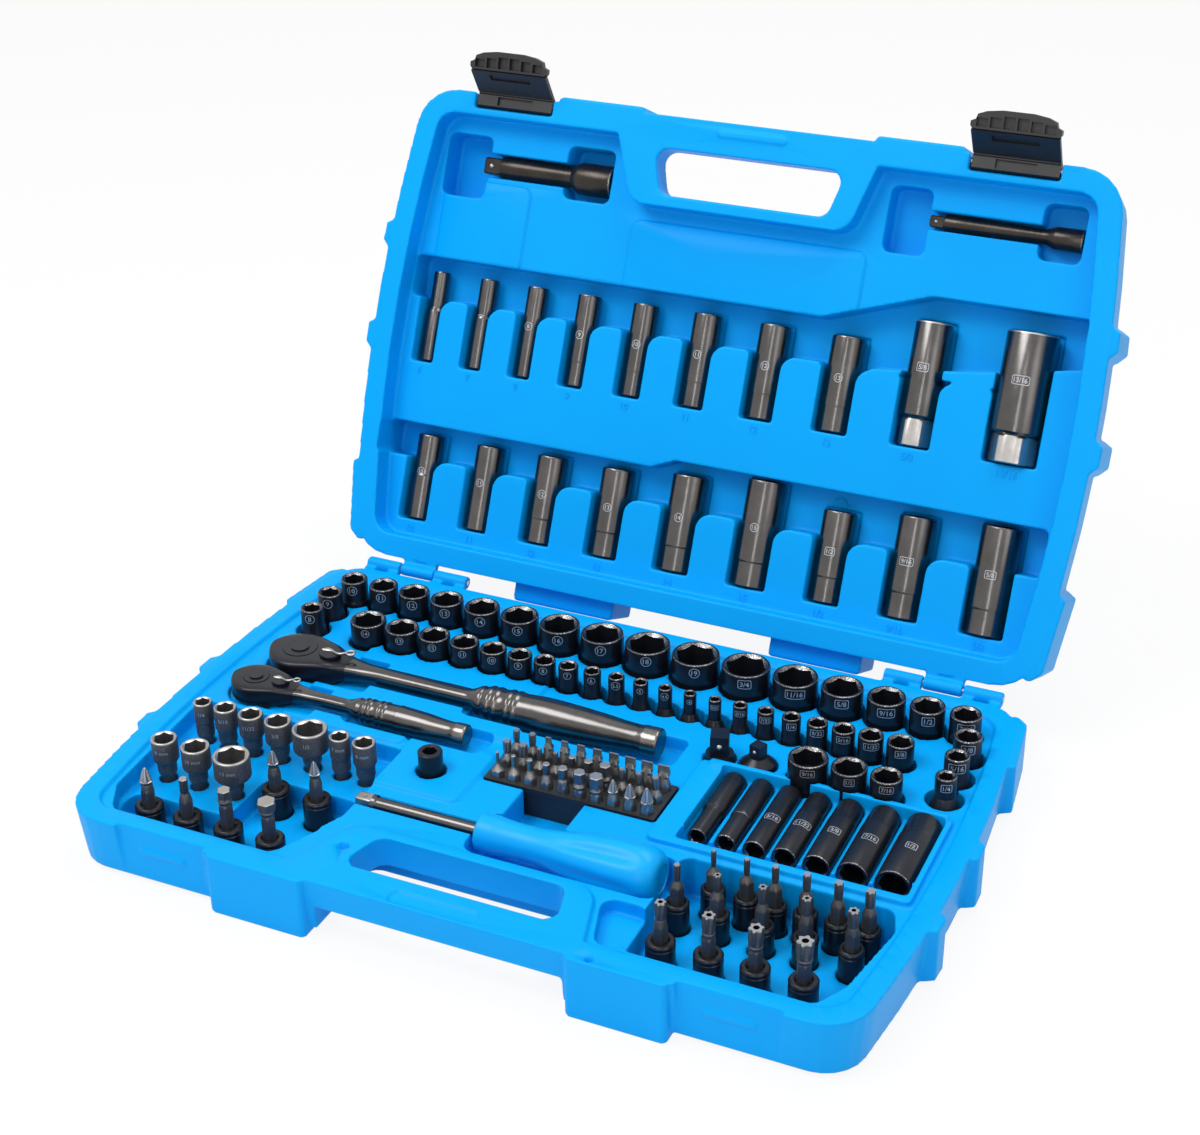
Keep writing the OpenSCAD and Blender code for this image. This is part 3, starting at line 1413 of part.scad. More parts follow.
// Drawn closed about its pivot, then swung open
module latch(side) {
    width = 2 * lip_side - 1.2;
    lip_half = [for (less = [1.2, 0, 0, 2.6, 3.4, 8, 16]) lip_side - less];
    lip_reach = [0, 1.5, 3.8, 5, 7.6, 9.4, lip_len];
    color(black) in_lid()
        translate([latch_x(side), -pivot_from, -pivot_h]) rotate([latch_open, 0, 0]) {
            difference() {
                across(width) {
                    circle(latch_barrel_r);
                    translate([plate_in, 0]) square([latch_t, plate_end]);
                }
                // The pocket that takes the catch bead
                across(bead_w + 1) translate([0, hook_at - bead_h - 1])
                    square([pivot_back + bead_out + 0.3, bead_h + 1]);
                // The flat faces of the lugs, and the window between them
                rotate([-latch_open, 0, 0]) {
                    translate([-width / 2 - cut, -latch_barrel_r, latch_barrel_r - 1.2])
                        cube([width + 2 * cut, 2 * latch_barrel_r, 3]);
                    translate([lug_w - width / 2, -2.4, 0.2 + latch_pin_r + run_gap])
                        cube([width - 2 * lug_w, 4.8, 3]);
                }
                translate([-width / 2 - cut, 0, 0]) rotate([0, 90, 0])
                    cylinder(h = width + 2 * cut, r = latch_pin_r + run_gap);
            }
            translate([0, -plate_in - latch_t + 0.3, plate_end - 0.6]) rotate([90 + lip_lean, 0, 0])
                difference() {
                    translate([0, 0, -lip_wall]) linear_extrude(lip_wall + 1.4)
                        polygon(concat([for (at = [0:6]) [lip_half[at], lip_reach[at]]],
                                       [for (at = [6:-1:0]) [-lip_half[at], lip_reach[at]]]));
                    for (cell = [-2.5:2.5])
                        translate([cell * 7.2 - 3, 1.2, -lip_wall - cut])
                            cube([6, lip_len - 3.6 - abs(cell) * 0.9, lip_wall + cut]);
                }
        }
}

module latch_left() latch(-1);
module latch_right() latch(1);

base_case();
lid_case();
hinge_pin_left();
hinge_pin_right();
latch_left();
latch_right();
latch_pin_left();
latch_pin_right();
ratchet_large_body();
ratchet_large_drive();
ratchet_large_button();
ratchet_large_lever();
ratchet_large_pawl();
ratchet_large_cover();
ratchet_large_screws();
ratchet_large_ball();
ratchet_small_body();
ratchet_small_drive();
ratchet_small_button();
ratchet_small_lever();
ratchet_small_pawl();
ratchet_small_cover();
ratchet_small_screws();
ratchet_small_ball();
driver_grip();
driver_shaft();
driver_end_socket();
extension_large();
extension_large_ball();
extension_small();
extension_small_ball();
adaptor_up();
adaptor_up_ball();
adaptor_down();
adaptor_down_ball();
bit_coupler();
bit_rail();
bits_slotted();
bits_torx();
bits_hex();
bits_phillips();
sockets_large_metric();
sockets_large_inch();
sockets_small_metric();
sockets_small_inch();
deep_sockets_tray();
deep_sockets_lid_small();
deep_sockets_lid_metric();
deep_sockets_lid_inch();
spark_sockets();
spark_inserts();
nutsetters();
bit_sockets_left();
bit_tips_left();
bit_sockets_right();
bit_tips_right();
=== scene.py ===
import math

import bmesh
import bpy
import numpy as np
from mathutils import Matrix, Vector


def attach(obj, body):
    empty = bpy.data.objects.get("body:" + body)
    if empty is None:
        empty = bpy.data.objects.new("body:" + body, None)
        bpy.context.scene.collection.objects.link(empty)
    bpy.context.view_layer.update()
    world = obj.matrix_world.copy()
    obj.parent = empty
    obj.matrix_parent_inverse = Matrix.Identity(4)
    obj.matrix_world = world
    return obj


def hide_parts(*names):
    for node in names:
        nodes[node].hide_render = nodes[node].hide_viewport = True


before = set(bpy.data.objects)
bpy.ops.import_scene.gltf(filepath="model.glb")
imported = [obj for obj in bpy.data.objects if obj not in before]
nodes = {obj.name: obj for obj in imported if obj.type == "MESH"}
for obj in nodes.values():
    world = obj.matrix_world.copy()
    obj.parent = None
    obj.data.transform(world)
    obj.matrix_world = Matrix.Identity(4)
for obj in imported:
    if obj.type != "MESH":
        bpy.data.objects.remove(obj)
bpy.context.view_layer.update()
mm = 0.001

# Where things lie: millimetres in each half's own directions, turned into metres
halves = {"hingeY": 139.5, "rimZ": 33.0, "openAngle": 115.0}
lean = math.radians(180 - halves["openAngle"])
# In the base x, minus the distance from the hinge, and height; in the lid x, that distance, and height
inBase = Matrix.Scale(mm, 4) @ Matrix.Translation((0, halves["hingeY"], halves["rimZ"]))
inLid = Matrix.Scale(mm, 4) @ Matrix(((1, 0, 0, 0), (0, math.cos(lean), -math.sin(lean), halves["hingeY"]),
                                      (0, math.sin(lean), math.cos(lean), halves["rimZ"]), (0, 0, 0, 1)))
# How a tool lies: its own z runs to the front, away from the hinge, or to the right
lyingInBase = Matrix(((1, 0, 0, 0), (0, 0, -1, 0), (0, 1, 0, 0), (0, 0, 0, 1)))
lyingInLid = Matrix(((1, 0, 0, 0), (0, 0, 1, 0), (0, -1, 0, 0), (0, 0, 0, 1)))
alongX = Matrix(((0, 0, 1, 0), (0, 1, 0, 0), (-1, 0, 0, 0), (0, 0, 0, 1)))
both = ("large", "small")


def spot(x, y, z):
    return Matrix.Translation((x, y, z))


class Wire:   # a socket of a material's tree, with arithmetic
    def __init__(self, tree, socket=None):
        self.tree = tree
        self.socket = socket

    def node(self, kind, settings=None, sockets=None, out=0):
        made = self.tree.nodes.new(kind)
        for name, value in (settings or {}).items():
            if name == "stops":
                ramp = made.color_ramp
                while len(ramp.elements) < len(value):
                    ramp.elements.new(0.5)
                for stop, (place, colour) in zip(ramp.elements, value):
                    stop.position = place
                    stop.color = colour
            else:
                setattr(made, name, value)
        for name, value in (sockets or {}).items():
            if isinstance(value, Wire):
                self.tree.links.new(value.socket, made.inputs[name])
            else:
                made.inputs[name].default_value = value
        return Wire(self.tree, made.outputs[out])

    def maths(self, operation, first, second=0.0):
        return self.node("ShaderNodeMath", {"operation": operation}, {0: first, 1: second})

    def __add__(self, other):
        return self.maths("ADD", self, other)

    __radd__ = __add__

    def __sub__(self, other):
        return self.maths("SUBTRACT", self, other)

    def __rsub__(self, other):
        return self.maths("SUBTRACT", other, self)

    def __mul__(self, other):
        return self.maths("MULTIPLY", self, other)

    __rmul__ = __mul__

    def clamped(self):
        return self.node("ShaderNodeClamp", None, {"Value": self})


def newFinish(name, look, paint):
    finish = bpy.data.materials.new(name)
    finish.use_nodes = True
    tree = finish.node_tree
    shader = tree.nodes["Principled BSDF"]
    for socket in ("Metallic", "Specular IOR Level"):
        if socket in look:
            shader.inputs[socket].default_value = look[socket]
    wire = Wire(tree)
    wire.place = wire.node("ShaderNodeTexCoord", None, None, "Object")
    for socket, value in paint(wire, look).items():
        tree.links.new(value.socket, shader.inputs[socket])
    finish.diffuse_color = (*look["colour"], 1)
    return finish


def noise(wire, scale, detail=3.0, rough=0.5, stretch=None):
    place = wire.place
    if stretch:
        place = wire.node("ShaderNodeMapping", None, {"Vector": place, "Scale": stretch})
    return wire.node("ShaderNodeTexNoise", None,
                     {"Vector": place, "Scale": scale, "Detail": detail, "Roughness": rough})


def tinted(wire, colour, other, share):
    return wire.node("ShaderNodeMix", {"data_type": "RGBA"},
                     {0: share, 6: (*colour, 1), 7: (*other, 1)}, 2)


def bumped(wire, height, strength, distance):
    return wire.node("ShaderNodeBump", None, {"Height": height, "Strength": strength, "Distance": distance})


def paintMoulded(wire, look):   # satin plastic with a fine grain and slow waves from the mould
    grain = noise(wire, look["grain"], 2.0)
    waves = noise(wire, look["waves"], 2.0)
    return {"Base Color": tinted(wire, look["colour"], look["shade"], (waves - 0.35) * 1.2),
            "Roughness": look["rough"] + grain * look["roughSpread"],
            "Normal": bumped(wire, grain * 0.5 + waves * look["wavy"], look["bump"], 0.0004)}


def paintMetal(wire, look):   # coated or bare steel: cloudy tone, fine tool lines, small scuffs
    cloud = noise(wire, look["cloud"], 4.0, 0.6)
    lines = noise(wire, look["lines"], 2.0, 0.5, look["stretch"])
    scuffs = (noise(wire, look["cloud"] * 7, 3.0, 0.7) - look["scuffFrom"]) * 6.0
    tone = tinted(wire, look["colour"], look["shade"], (cloud - 0.3) * 1.5)
    worn = wire.node("ShaderNodeMix", {"data_type": "RGBA"},
                     {0: scuffs.clamped() * look["scuffs"], 6: tone, 7: (*look["bare"], 1)}, 2)
    return {"Base Color": worn,
            "Roughness": look["rough"] + cloud * look["roughSpread"] + lines * 0.05,
            "Normal": bumped(wire, lines * 0.6 + cloud * 0.3, look["bump"], 0.0002)}


plastic = {"grain": 2800.0, "waves": 40.0, "wavy": 0.2, "rough": 0.36, "roughSpread": 0.1, "bump": 0.2}
plastics = {"caseBlue": {"colour": (0.0, 0.36, 0.87), "shade": (0.0, 0.325, 0.83), "grain": 2600.0,
    "waves": 14.0, "wavy": 0.6, "Specular IOR Level": 0.1}, "gripBlue": {"colour": (0.0, 0.38, 0.86),
    "shade": (0.0, 0.34, 0.82), "grain": 3200.0, "waves": 30.0, "rough": 0.3, "Specular IOR Level": 0.2},
    "blackPlastic": {"colour": (0.01, 0.01, 0.012), "shade": (0.016, 0.016, 0.018), "roughSpread": 0.12,
    "bump": 0.3}, "insertRubber": {"colour": (0.01, 0.01, 0.01), "shade": (0.016, 0.016, 0.016),
    "grain": 2000.0, "waves": 60.0, "wavy": 0.3, "rough": 0.7, "roughSpread": 0.15, "bump": 0.4}}
metal = {"bare": (0.6, 0.58, 0.56), "cloud": 140.0, "lines": 1000.0, "stretch": (1, 1, 14),
    "scuffFrom": 0.6, "scuffs": 0.4, "rough": 0.26, "roughSpread": 0.16, "bump": 0.2, "Metallic": 1.0}
# blackOxide's blue tint is partly the oxide's own blue-black and partly a painted reflection of the blue case
metals = {"blackOxide": {"colour": (0.008, 0.009, 0.013), "shade": (0.013, 0.016, 0.024),
    "bare": (0.07, 0.07, 0.08), "cloud": 90.0, "lines": 900.0, "scuffFrom": 0.68, "rough": 0.2,
    "roughSpread": 0.14, "bump": 0.12, "Metallic": 0.3, "Specular IOR Level": 0.4},
    "gunmetal": {"colour": (0.09, 0.086, 0.084), "shade": (0.14, 0.132, 0.128), "bare": (0.26, 0.25, 0.24),
    "cloud": 60.0, "scuffFrom": 0.68, "rough": 0.14, "roughSpread": 0.1, "bump": 0.08},
    "bronzed": {"colour": (0.028, 0.024, 0.021), "shade": (0.07, 0.058, 0.048), "bare": (0.2, 0.17, 0.14),
    "cloud": 50.0, "lines": 900.0, "scuffFrom": 0.66, "rough": 0.18, "roughSpread": 0.14, "bump": 0.1,
    "Metallic": 0.8}, "polished": {"colour": (0.2, 0.185, 0.17), "shade": (0.13, 0.12, 0.112),
    "bare": (0.6, 0.57, 0.54), "cloud": 80.0, "lines": 1200.0, "rough": 0.14, "roughSpread": 0.1,
    "bump": 0.08}, "phosphate": {"colour": (0.075, 0.078, 0.086), "shade": (0.13, 0.13, 0.135),
    "bare": (0.34, 0.33, 0.32), "cloud": 150.0, "lines": 900.0, "scuffFrom": 0.58, "scuffs": 0.7,
    "rough": 0.42, "roughSpread": 0.2, "bump": 0.35, "Metallic": 0.75},
    "brightSteel": {"colour": (0.42, 0.4, 0.38), "shade": (0.28, 0.265, 0.25), "bare": (0.75, 0.73, 0.7),
    "lines": 1200.0}, "bitSteel": {"colour": (0.27, 0.26, 0.25), "shade": (0.15, 0.145, 0.14),
    "cloud": 160.0, "lines": 1200.0, "scuffFrom": 0.55, "scuffs": 0.5},
    "darkSteel": {"colour": (0.09, 0.088, 0.088), "shade": (0.15, 0.145, 0.14), "bare": (0.4, 0.38, 0.36),
    # the rim finish: partly real wear, partly a painted highlight, brighter metal with bright scuffs on
    # socket and bar rims
    "scuffs": 0.5, "rough": 0.34, "Metallic": 0.8}, "rimWearAndHighlight": {"colour": (0.1, 0.098, 0.1),
    "shade": (0.03, 0.03, 0.034), "bare": (0.75, 0.73, 0.7), "cloud": 260.0, "lines": 1200.0,
    "scuffFrom": 0.5, "scuffs": 0.8, "rough": 0.2, "roughSpread": 0.2},
    "etched": {"colour": (0.5, 0.51, 0.53), "shade": (0.28, 0.29, 0.32), "bare": (0.6, 0.6, 0.62),
    "cloud": 500.0, "lines": 1500.0, "scuffFrom": 0.55, "scuffs": 0.5, "rough": 0.4, "roughSpread": 0.2,
    "Metallic": 0.6}, "zincSteel": {"colour": (0.6, 0.6, 0.6), "shade": (0.45, 0.45, 0.46),
    "bare": (0.7, 0.7, 0.7), "rough": 0.3, "roughSpread": 0.15}}
finishes = {name: newFinish(name, {**plastic, **look}, paintMoulded) for name, look in plastics.items()}
finishes.update((name, newFinish(name, {**metal, **look}, paintMetal)) for name, look in metals.items())
print("finishes made")

segments = 72
around = np.arange(segments) * 2 * math.pi / segments


def ringReach(kind, size, extra=0.0):
    if kind == "round":
        return np.full(segments, float(size))
    if kind == "star":      # size is the tip's width, six lobes
        return size / 2 * (0.87 + 0.13 * np.cos(6 * around))
    if kind == "blade":     # size is the width, extra the thickness
        return 1 / np.maximum(np.abs(np.cos(around)) / (size / 2), np.abs(np.sin(around)) / (extra / 2))
    if kind == "cross":     # size is the width, extra how deep the four flutes cut
        wing = np.abs(np.cos(2 * around)) ** 1.6
        return size / 2 * (1 - extra * (1 - wing))
    if kind == "flute":     # a round grip of that radius with wide shallow flutes
        wave = 0.5 - 0.5 * np.cos(6 * around)
        return size * (1 - extra * wave ** 2)
    sides = {"hex": 6, "square": 4}[kind]
    step = 2 * math.pi / sides
    fromFlat = (around + step / 2) % step - step / 2
    reach = size / 2 / np.cos(fromFlat)
    return np.minimum(reach, size / 2 * (1.13 if kind == "hex" else 1.33)) if extra else reach


def rounds(*rings):   # each ring has its radius and height, and its slot if it isn't 0
    return [("round", *ring, *[0] * (3 - len(ring))) for ring in rings]


def squares(*rings):   # these have their width over flats, with the corners taken off
    return [("square", *ring, *[0] * (3 - len(ring)), {"extra": 1}) for ring in rings]


def hexes(*rings):   # and these may have a cone, which cuts their corners lower
    whole = [(*ring, *(0, None)[len(ring) - 2:]) for ring in rings]
    return [("hex", size, height, slot, {"extra": 1, "cone": cone}) for size, height, slot, cone in whole]


def newParts():
    return {"points": [], "faces": [], "slots": [], "count": 0}


def addPart(parts, points, faces, slots, place):
    world = np.array(place.to_4x4())
    parts["points"].append(points @ world[:3, :3].T + world[:3, 3])
    parts["faces"] += [tuple(v + parts["count"] for v in face) for face in faces]
    parts["slots"] += slots
    parts["count"] += len(points)


# Each ring has its kind, size, height, the slot of the band below it, and what else its shape needs
def turned(parts, rings, place, spin=0.0):
    points, faces, slots = [], [], []
    for at, ring in enumerate(rings):
        kind, size, height, slot = ring[:4]
        more = ring[4] if len(ring) > 4 else {}
        reach = ringReach(kind, size, more.get("extra", 0.0))
        level = np.full(segments, float(height))
        if more.get("cone"):
            level = height - (more["cone"][0] - reach) * more["cone"][1]
        angles = around + spin
        points.append(np.stack([reach * np.cos(angles), reach * np.sin(angles), level], 1))
        if at:
            low, high = (at - 1) * segments, at * segments
            for turn in range(segments):
                then = (turn + 1) % segments
                faces.append((low + turn, low + then, high + then, high + turn))
                slots.append(slot)
    last = (len(rings) - 1) * segments
    faces.append(tuple(range(segments - 1, -1, -1)))
    faces.append(tuple(range(last, last + segments)))
    slots += [rings[0][3], rings[-1][3]]
    addPart(parts, np.concatenate(points), faces, slots, place)


def held(name, data):
    holder = bpy.data.objects.new(name, data)
    bpy.context.scene.collection.objects.link(holder)
    return holder


def meshOf(name, parts, coats=()):
    mesh = bpy.data.meshes.new(name)
    mesh.from_pydata(np.concatenate(parts["points"]).tolist(), [], parts["faces"])
    for coat in coats:
        mesh.materials.append(finishes[coat])
    mesh.polygons.foreach_set("material_index", parts["slots"])
    return mesh


def facedOut(mesh):
    shape = bmesh.new()
    shape.from_mesh(mesh)
    bmesh.ops.recalc_face_normals(shape, faces=shape.faces)
    shape.to_mesh(mesh)
    shape.free()
    return mesh


def evaluated(holder):
    bpy.context.view_layer.update()
    return bpy.data.meshes.new_from_object(holder.evaluated_get(bpy.context.evaluated_depsgraph_get()))


def changed(mesh, *modifiers):
    holder = held("changing", mesh)
    for kind, settings in modifiers:
        modifier = holder.modifiers.new(kind, kind)
        for name, value in settings.items():
            setattr(modifier, name, value)
    done = evaluated(holder)
    bpy.data.objects.remove(holder)
    return done


def carved(mesh, cutters, solver, coats=()):
    cutter = held("cutter", meshOf("cutter", cutters, coats))
    done = changed(mesh, ("BOOLEAN", {"operation": "DIFFERENCE", "solver": solver, "object": cutter}))
    bpy.data.objects.remove(cutter)
    return done


def finished(parts, name, body, coats, replaced=(), sharp=32):
    return settled(name, facedOut(meshOf(name, parts, coats)), body, replaced, sharp)


def settled(name, mesh, body, replaced=(), sharp=32):
    mesh.shade_smooth()
    if sharp:
        mesh.set_sharp_from_angle(angle=math.radians(sharp))
    piece = held(name, mesh)
    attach(piece, body)
    if replaced:
        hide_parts(*replaced)
    return piece


def solidsOf(nodeName, into):   # the boxes of a node's separate solids, in a half's millimetres
    mesh = nodes[nodeName].data
    points = np.empty(len(mesh.vertices) * 3)
    mesh.vertices.foreach_get("co", points)
    points = points.reshape(-1, 3)
    edges = np.empty(len(mesh.edges) * 2, dtype=np.int64)
    mesh.edges.foreach_get("vertices", edges)
    back = np.array(into.inverted())
    local = points @ back[:3, :3].T + back[:3, 3]
    same = np.unique(np.round(points * 1e6).astype(np.int64), axis=0, return_inverse=True)[1].reshape(-1)
    ends = same[edges.reshape(-1, 2)]
    labels = np.arange(same.max() + 1)
    while True:
        low = np.minimum(labels[ends[:, 0]], labels[ends[:, 1]])
        grown = labels.copy()
        np.minimum.at(grown, ends[:, 0], low)
        np.minimum.at(grown, ends[:, 1], low)
        grown = grown[grown]
        if np.array_equal(grown, labels):
            break
        labels = grown
    boxes = []
    for label in np.unique(labels):
        own = local[labels[same] == label]
        boxes.append((own.min(0), own.max(0)))
    return boxes


def byRow(boxes, rowPitch=14.0):
    return sorted(boxes, key=lambda b: (-round((b[0][1] + b[1][1]) / 2 / rowPitch), b[0][0] + b[1][0]))


def centreOf(box):
    return (box[0] + box[1]) / 2


# The case halves are blow-moulded plastic, so every edge is round and the skin is a little wavy
moulding = {"voxel": 0.8, "quickVoxel": 1.7, "smooth": 5, "faces": 190000, "stepAt": 11.6, "stepDeep": 2.4,
            "stepWide": 1.8, "reliefDepth": 7.5}
caseSize = {"halfWide": 202.0, "bulge": 11.5, "bulgeAt": 140.0, "deep": 279.0, "back": 6.0, "corner": 24.0}


def smoothStep(value):
    value = np.clip(value, 0, 1)
    return value * value * (3 - 2 * value)


def insetOf(x, s):   # how far inside the outline a point lies
    along = (s - caseSize["bulgeAt"]) / caseSize["bulgeAt"]
    side = caseSize["halfWide"] + caseSize["bulge"] * (1 - along ** 2)
    fromSide, fromFront, fromBack = side - np.abs(x), caseSize["deep"] - s, s - caseSize["back"]
    nearest = np.minimum(fromFront, fromBack)
    radius = caseSize["corner"]
    rounded = radius - np.hypot(np.maximum(radius - fromSide, 0), np.maximum(radius - nearest, 0))
    return np.where((fromSide < radius) & (nearest < radius), rounded, np.minimum(fromSide, nearest))


def panelRise(x, s, left, right, fromS, toS, edge, corner=5.0):
    halfX, halfS = (right - left) / 2, (toS - fromS) / 2
    awayX = np.abs(x - (left + right) / 2) - halfX + corner
    awayS = np.abs(s - (fromS + toS) / 2) - halfS + corner
    outside = np.hypot(np.maximum(awayX, 0), np.maximum(awayS, 0)) + np.minimum(np.maximum(awayX, awayS), 0)
    return smoothStep(0.5 - (outside - corner) / edge)


def outerShell(mesh):   # the skin alone, without the sealed hollow inside the double wall
    shape = bmesh.new()
    shape.from_mesh(mesh)
    bmesh.ops.remove_doubles(shape, verts=shape.verts, dist=1e-6)
    left = set(shape.verts)
    largest = []
    while left:
        start = left.pop()
        group, todo = [start], [start]
        while todo:
            for edge in todo.pop().link_edges:
                for vert in edge.verts:
                    if vert in left:
                        left.discard(vert)
                        group.append(vert)
                        todo.append(vert)
        if len(group) > len(largest):
            largest = group
    keep = set(largest)
    bmesh.ops.delete(shape, geom=[v for v in shape.verts if v not in keep], context="VERTS")
    skin = bpy.data.meshes.new("skin")
    shape.to_mesh(skin)
    shape.free()
    return skin


def remoulded(skin, relief, into):
    voxel = moulding["voxel"]
    rough = changed(skin, ("REMESH", {"mode": "VOXEL", "voxel_size": voxel * mm}),
                    ("SMOOTH", {"factor": 0.5, "iterations": moulding["smooth"]}))
    points = np.empty(len(rough.vertices) * 3)
    rough.vertices.foreach_get("co", points)
    back, forward = np.array(into.inverted()), np.array(into)
    local = points.reshape(-1, 3) @ back[:3, :3].T + back[:3, 3]
    relief(local)
    points = local @ forward[:3, :3].T + forward[:3, 3]
    rough.vertices.foreach_set("co", points.reshape(-1))
    return changed(rough, ("DECIMATE", {"ratio": min(1.0, moulding["faces"] / (2 * len(rough.polygons)))}))


def outOfIsland(x, s):   # how far outside the handle's flat a point lies
    fromTop = island["top"] - s
    (leftX, leftS), (lowX, lowS) = island["left"]
    fromLeft = ((leftX + (lowX - leftX) * (s - leftS) / (lowS - leftS)) - x) * 0.94
    (rightX, rightS), (endX, endS) = island["right"]
    fromRight = (x - (rightX + (endX - rightX) * (s - rightS) / (endS - rightS))) * 0.96
    aside = np.maximum(fromLeft, fromRight) + island["round"]
    above = fromTop + island["round"]
    nearer = np.minimum(np.maximum(aside, above), 0)
    return np.hypot(np.maximum(aside, 0), np.maximum(above, 0)) + nearer - island["round"]


island = {"top": 229.0, "left": ((-66, 229), (-88, 290)), "right": ((62, 229), (80, 290)), "round": 12.0}
baseHalf = {"panels": [(-142, -35, 78, 101), (-152, -30, 114, 137), (-152, -80, 150, 161),
    (-78, -30, 150, 196), (72, 196, 112, 120)], "panelShare": 0.85, "panelEdge": 2.4, "panelRound": 4.0,
    "slot": (-22.5, 22.5, 268.5, 277.0), "slotDeep": 1.5, "pins": ((-61.4, 248.8, 2.5), (80.4, 278.2, 1.6)),
    "pinDeep": 4.0}
lidHalf = {"panels": [(-187, -132, 180, 230, 1.7), (-67, 72, 180, 221, 1.7)], "panelRound": 6.0,
           "bosses": [(-57.2, 170.5, 3.6), (22.2, 170.8, 4.0), (76.8, 83.1, 3.8), (-100.0, 76.5, 3.6)],
           "bossHigh": 0.9, "rib": (-20.5, 20.5, 270.5, 275.0), "ribHigh": 0.9, "tray": 14.0, "floor": 31.0}
moulded = {"edge": 1.4, "slotRound": 3.0, "ribRound": 2.5}


def baseRelief(local):
    x, s, height = local[:, 0], -local[:, 1], local[:, 2]
    top = smoothStep((height + moulding["reliefDepth"]) / moulding["reliefDepth"])
    tray = smoothStep((insetOf(x, s) - moulding["stepAt"]) / moulding["stepWide"] + 0.5)
    tray *= smoothStep(outOfIsland(x, s) / moulding["stepWide"] + 0.5)
    flat = np.zeros(len(x))
    for panel in baseHalf["panels"]:
        flat = np.maximum(flat, panelRise(x, s, *panel, baseHalf["panelEdge"], baseHalf["panelRound"]))
    local[:, 2] -= moulding["stepDeep"] * tray * (1 - baseHalf["panelShare"] * flat) * top
    slot = panelRise(x, s, *baseHalf["slot"], moulded["edge"], moulded["slotRound"])
    local[:, 2] -= baseHalf["slotDeep"] * slot * top
    for pinX, pinS, radius in baseHalf["pins"]:
        hole = smoothStep((radius + 0.6 - np.hypot(x - pinX, s - pinS)) / 1.0)
        local[:, 2] -= baseHalf["pinDeep"] * hole * top


def lidRelief(local):
    x, s, height = local[:, 0], local[:, 1], local[:, 2]
    onTray = smoothStep(1 - np.abs(height + lidHalf["tray"]) / 5.0)
    for *panel, rise in lidHalf["panels"]:
        local[:, 2] += rise * panelRise(x, s, *panel, moulded["edge"], lidHalf["panelRound"]) * onTray
    for atX, atS, radius in lidHalf["bosses"]:
        onFloor = smoothStep(1 - np.abs(height + lidHalf["floor"]) / 3.0)
        raised = smoothStep((radius + 0.5 - np.hypot(x - atX, s - atS)) / 1.0)
        local[:, 2] -= lidHalf["bossHigh"] * raised * onFloor
    rim = smoothStep((height + 5.0) / 5.0)
    rib = panelRise(x, s, *lidHalf["rib"], moulded["edge"], moulded["ribRound"])
    local[:, 2] += lidHalf["ribHigh"] * rib * rim


# The walls between the lid's sockets have a wide curve at one top corner and a small one at the other
teeth = {"top": -6.0, "floor": -30.8, "round": 9.0, "small": 3.2, "inset": 0.9,
         "rows": ((159.0, ("deep_sockets_lid_small", "spark_sockets")),
                  (65.0, ("deep_sockets_lid_metric", "deep_sockets_lid_inch")))}


def prism(parts, outline, low, high, place):
    count = len(outline)
    points = np.array([(px, ps, low) for px, ps in outline] + [(px, ps, high) for px, ps in outline],
        dtype=float)
    faces = [tuple(range(count - 1, -1, -1)), tuple(range(count, 2 * count))]
    faces += [(at, (at + 1) % count, (at + 1) % count + count, at + count) for at in range(count)]
    addPart(parts, points, faces, [0] * len(faces), place)


def cornerCut(x, s, size, side):   # what a rounded corner leaves away, as an outline
    arc = [(x + side * (size - size * math.cos(a)), s - size + size * math.sin(a))
           for a in np.linspace(0, math.pi / 2, 10)]
    outline = [(x - side * 0.6, s + 0.6), (x - side * 0.6, s - size)] + arc + [(x + side * size, s + 0.6)]
    return outline if side > 0 else outline[::-1]


def shapedTeeth(skin):
    cutters = newParts()
    for top, owners in teeth["rows"]:
        boxes = sorted((box for owner in owners for box in solidsOf(owner, inLid)), key=lambda b: b[0][0])
        for box, following in zip(boxes, boxes[1:]):
            for x, size, side in ((box[1][0] + teeth["inset"], teeth["round"], 1),
                                  (following[0][0] - teeth["inset"], teeth["small"], -1)):
                prism(cutters, cornerCut(x, top, size, side), teeth["floor"], teeth["top"], inLid)
    return carved(skin, cutters, "MANIFOLD")


def caseHalf(nodeName, body, shaped, relief, into):
    mesh = remoulded(shaped(outerShell(nodes[nodeName].data)), relief, into)
    mesh.materials.clear()
    mesh.materials.append(finishes["caseBlue"])
    settled(nodeName + "_moulded", mesh, body, (nodeName,), 0)


caseHalf("base_case", "base", lambda skin: skin, baseRelief, inBase)
print("base moulded")
caseHalf("lid_case", "lid", shapedTeeth, lidRelief, inLid)
print("lid moulded")

# Size marks: numbers in strips narrow enough to bend round a tool
marks = {"proud": 0.09, "strip": 0.8, "ring": 0.2, "margin": 0.22, "bend": 0.28, "steps": 40, "bold": 0.012,
         "facing": -math.pi / 2 + 0.3}
words = {}


def addFrame(shape, size, kind):   # a ring, or a box with round corners, about the word
    xs, ys = [v.co.x for v in shape.verts], [v.co.y for v in shape.verts]
    wide, tall = ((max(ends) - min(ends)) / 2 + size * marks["margin"] for ends in (xs, ys))
    middleX, middleY = (max(xs) + min(xs)) / 2, (max(ys) + min(ys)) / 2
    steps = marks["steps"]
    loops = []
    for reach in (0.0, marks["ring"] * size * 0.5):
        loop = []
        for turn in range(steps):
            angle = 2 * math.pi * (turn + 0.5) / steps
            across, along = math.cos(angle), math.sin(angle)
            if kind == "ring":
                far = max(wide, tall) * 1.05 + reach
                loop.append(shape.verts.new((middleX + far * across, middleY + far * along, 0)))
            else:
                across = math.copysign(abs(across) ** marks["bend"], across)
                along = math.copysign(abs(along) ** marks["bend"], along)
                loop.append(shape.verts.new((middleX + (wide + reach) * across, middleY
                    + (tall + reach) * along, 0)))
        loops.append(loop)
    for turn in range(steps):
        then = (turn + 1) % steps
        shape.faces.new((loops[0][turn], loops[0][then], loops[1][then], loops[1][turn]))


